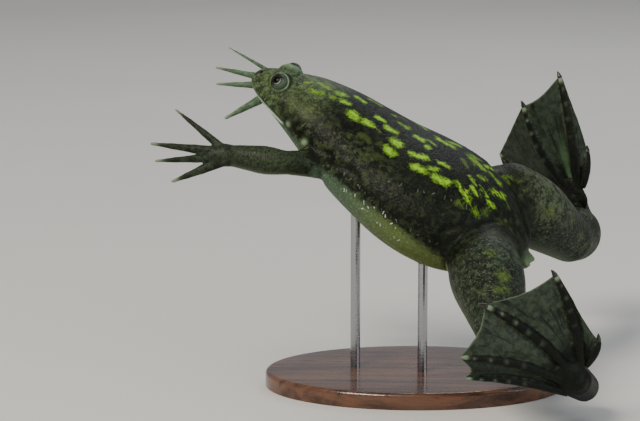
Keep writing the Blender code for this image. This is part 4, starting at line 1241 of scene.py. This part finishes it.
setInputs(tree, shader, {"Base Color": iris, "Roughness": 0.3, "Specular IOR Level": 0.08,
                         "Coat Weight": 0.05, "Coat Roughness": 0.08})
for side, sign in (("left", 1), ("right", -1)):
    mirror = np.array((1, sign, 1))
    eye, gaze = head["eye"] * mirror, head["gaze"] * mirror
    ball = meshPiece("eyeball_" + side, [eggSkin(eye, (head["eyeRadius"],) * 3, gaze, 64, 44)])
    out = unit(toFrog(coords(ball.data)) - eye)
    addAttribute(ball.data, "angle", np.degrees(np.arccos(np.clip(out @ unit(gaze), -1, 1))))
    addAttribute(ball.data, "rearward", ramp(-out[:, 0] * 0.9 - out[:, 2] * 0.45, -0.55, 0.15))
    ball.data.materials.append(eyeGloss)
    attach(ball, "root")
    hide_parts("eye_" + side)

claws = {"toes": 3, "length": 1.9, "sides": 24, "rings": 25,
         # along the claw: share of its length, radius, droop
         "profile": ((-0.25, 0.55, 0.0), (-0.22, 0.74, 0.0), (-0.1, 0.80, 0.0), (0.15, 0.72, 0.01),
                     (0.4, 0.55, 0.06), (0.65, 0.42, 0.14), (0.85, 0.24, 0.23), (0.97, 0.12, 0.30),
                     (1.0, 0.04, 0.32))}
# dark horn: nearly black with browner cloudy streaks
horn, tree, shader = newMaterial("claw_horn")
place = addNode(tree, "TexCoord", output="Object")
streaks = addNode(tree, "TexNoise", inputs={"Vector": place, "Scale": 2.6 / mm, "Detail": 2.0})
setInputs(tree, shader, {
    "Base Color": painted(tree, "#0f0d0a", ("#2f2820", streaks)), "Roughness": 0.28,
    "Normal": addNode(tree, "Bump", inputs={"Strength": 0.3, "Distance": 0.1 * mm, "Height": streaks})})
for side in limbs:
    frames = toeFrames(side)
    for toe in range(claws["toes"]):
        tip, before = toeAt(frames, toe, np.array((1.0, 0.97)))
        ahead = unit(tip - before)
        lean = unit(np.cross(ahead, (0.0, 0.0, 1.0)))
        lift = np.cross(lean, ahead)
        # ring = tip + s length ahead - droop lift + r (cos a lean + sin a lift)
        knots = np.array(claws["profile"])
        at = np.linspace(0, len(knots) - 1, claws["rings"])
        s, radius, droop = curveThrough(np.arange(len(knots)), knots, at).T[:, :, None]
        a = 2 * np.pi * np.arange(claws["sides"]) / claws["sides"]
        rim = lean * np.cos(a)[:, None] + lift * np.sin(a)[:, None]
        centre = tip + ahead * s * claws["length"] - lift * droop
        name = "%s_%d" % (side, toe + 1)
        claw = meshPiece("horn_" + name, [closedTube(centre[:, None] + rim * np.abs(radius)[:, None])])
        claw.data.materials.append(horn)
        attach(claw, "root")
        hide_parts("claw_" + name)

walnut = {"thickness": 5.0, "halfLength": 46.0, "halfWidth": 32.0, "edge": 1.3, "foot": 0.4, "sides": 160,
          # lines of grain and pores per millimetre along and across the board, and how far they run aslant
          "grain": (0.018, 0.24, 0.24), "pores": (0.22, 2.6, 2.6), "aslant": 0.2}
# dark oiled walnut: long wavering grain in two browns, small open pores
wood, tree, shader = newMaterial("oiled_walnut")
place = addNode(tree, "TexCoord", output="Object")
grainAt, poresAt = (addNode(tree, "Mapping", inputs={
    "Vector": place, "Scale": [many / mm for many in walnut[name]], "Rotation": (0.0, 0.0, walnut["aslant"])})
    for name in ("grain", "pores"))
grain = addNode(tree, "TexNoise", inputs={
    "Vector": grainAt, "Scale": 1.0, "Detail": 6.0, "Roughness": 0.62, "Distortion": 0.6})
pores = addNode(tree, "TexNoise", inputs={"Vector": poresAt, "Scale": 1.0, "Detail": 2.0})
brown = painted(tree, "#3a2417", ("#6b4630", (grain, 0.36, 0.64)), ("#22140c", (pores, 0.60, 0.70, 0.7)))
dents = addNode(tree, "Bump", {"invert": True}, {"Strength": 0.25, "Distance": 0.2 * mm, "Height": pores})
setInputs(tree, shader, {"Base Color": brown, "Roughness": product(tree, (pores, 0.4, 0.8, 0.6)),
                         "Coat Weight": 0.25, "Coat Roughness": 0.25, "Normal": dents})
# the rim follows a quarter circle at the top edge and a small one below, over an oval plan
quarter = np.radians(np.linspace(0, 90, 9))
edge, foot, top = walnut["edge"], walnut["foot"], walnut["thickness"]
profile = [(6.0, 0.0), (foot, 0.0)]
profile += [(foot - foot * np.sin(q), foot - foot * np.cos(q)) for q in quarter[1:]]
profile += [(edge * (1 - np.cos(q)), top - edge * (1 - np.sin(q))) for q in quarter]
profile += [(8.0, top), (20.0, top)]
a = 2 * np.pi * np.arange(walnut["sides"]) / walnut["sides"]
oval = np.stack((np.cos(a), np.sin(a)), -1)
halves = np.array((walnut["halfLength"], walnut["halfWidth"]))
middleOfBase = baseBox.mean(0)[:2]
rings = [np.c_[middleOfBase + (halves - inset) * oval, np.full(len(a), height)] for inset, height in profile]
base = meshPiece("walnut_base", [closedTube(np.array(rings))], False)
base.data.materials.append(wood)
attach(base, "root")
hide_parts("stand_base")

# brushed steel: fine turning lines round the rod, soft bright streaks
brushing = {"lines": (0.3, 0.3, 9.0), "tones": ("#8e8f92", "#b9babd")}  # lines per millimetre
steel, tree, shader = newMaterial("brushed_steel")
place = addNode(tree, "TexCoord", output="Object")
lines = addNode(tree, "Mapping", inputs={"Vector": place, "Scale": [many / mm for many in brushing["lines"]]})
brushed = addNode(tree, "TexNoise", inputs={"Vector": lines, "Scale": 1.0, "Detail": 3.0})
setInputs(tree, shader, {
    "Base Color": painted(tree, brushing["tones"][0], (brushing["tones"][1], brushed)), "Metallic": 1.0,
    "Roughness": product(tree, (brushed, 0.2, 0.9, 0.45)),
    "Normal": addNode(tree, "Bump", inputs={"Strength": 0.15, "Distance": 0.05 * mm, "Height": brushed})})
for name in ("stand_rod_front", "stand_rod_rear"):
    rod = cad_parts[name]
    for slot in rod.material_slots:
        slot.material = steel
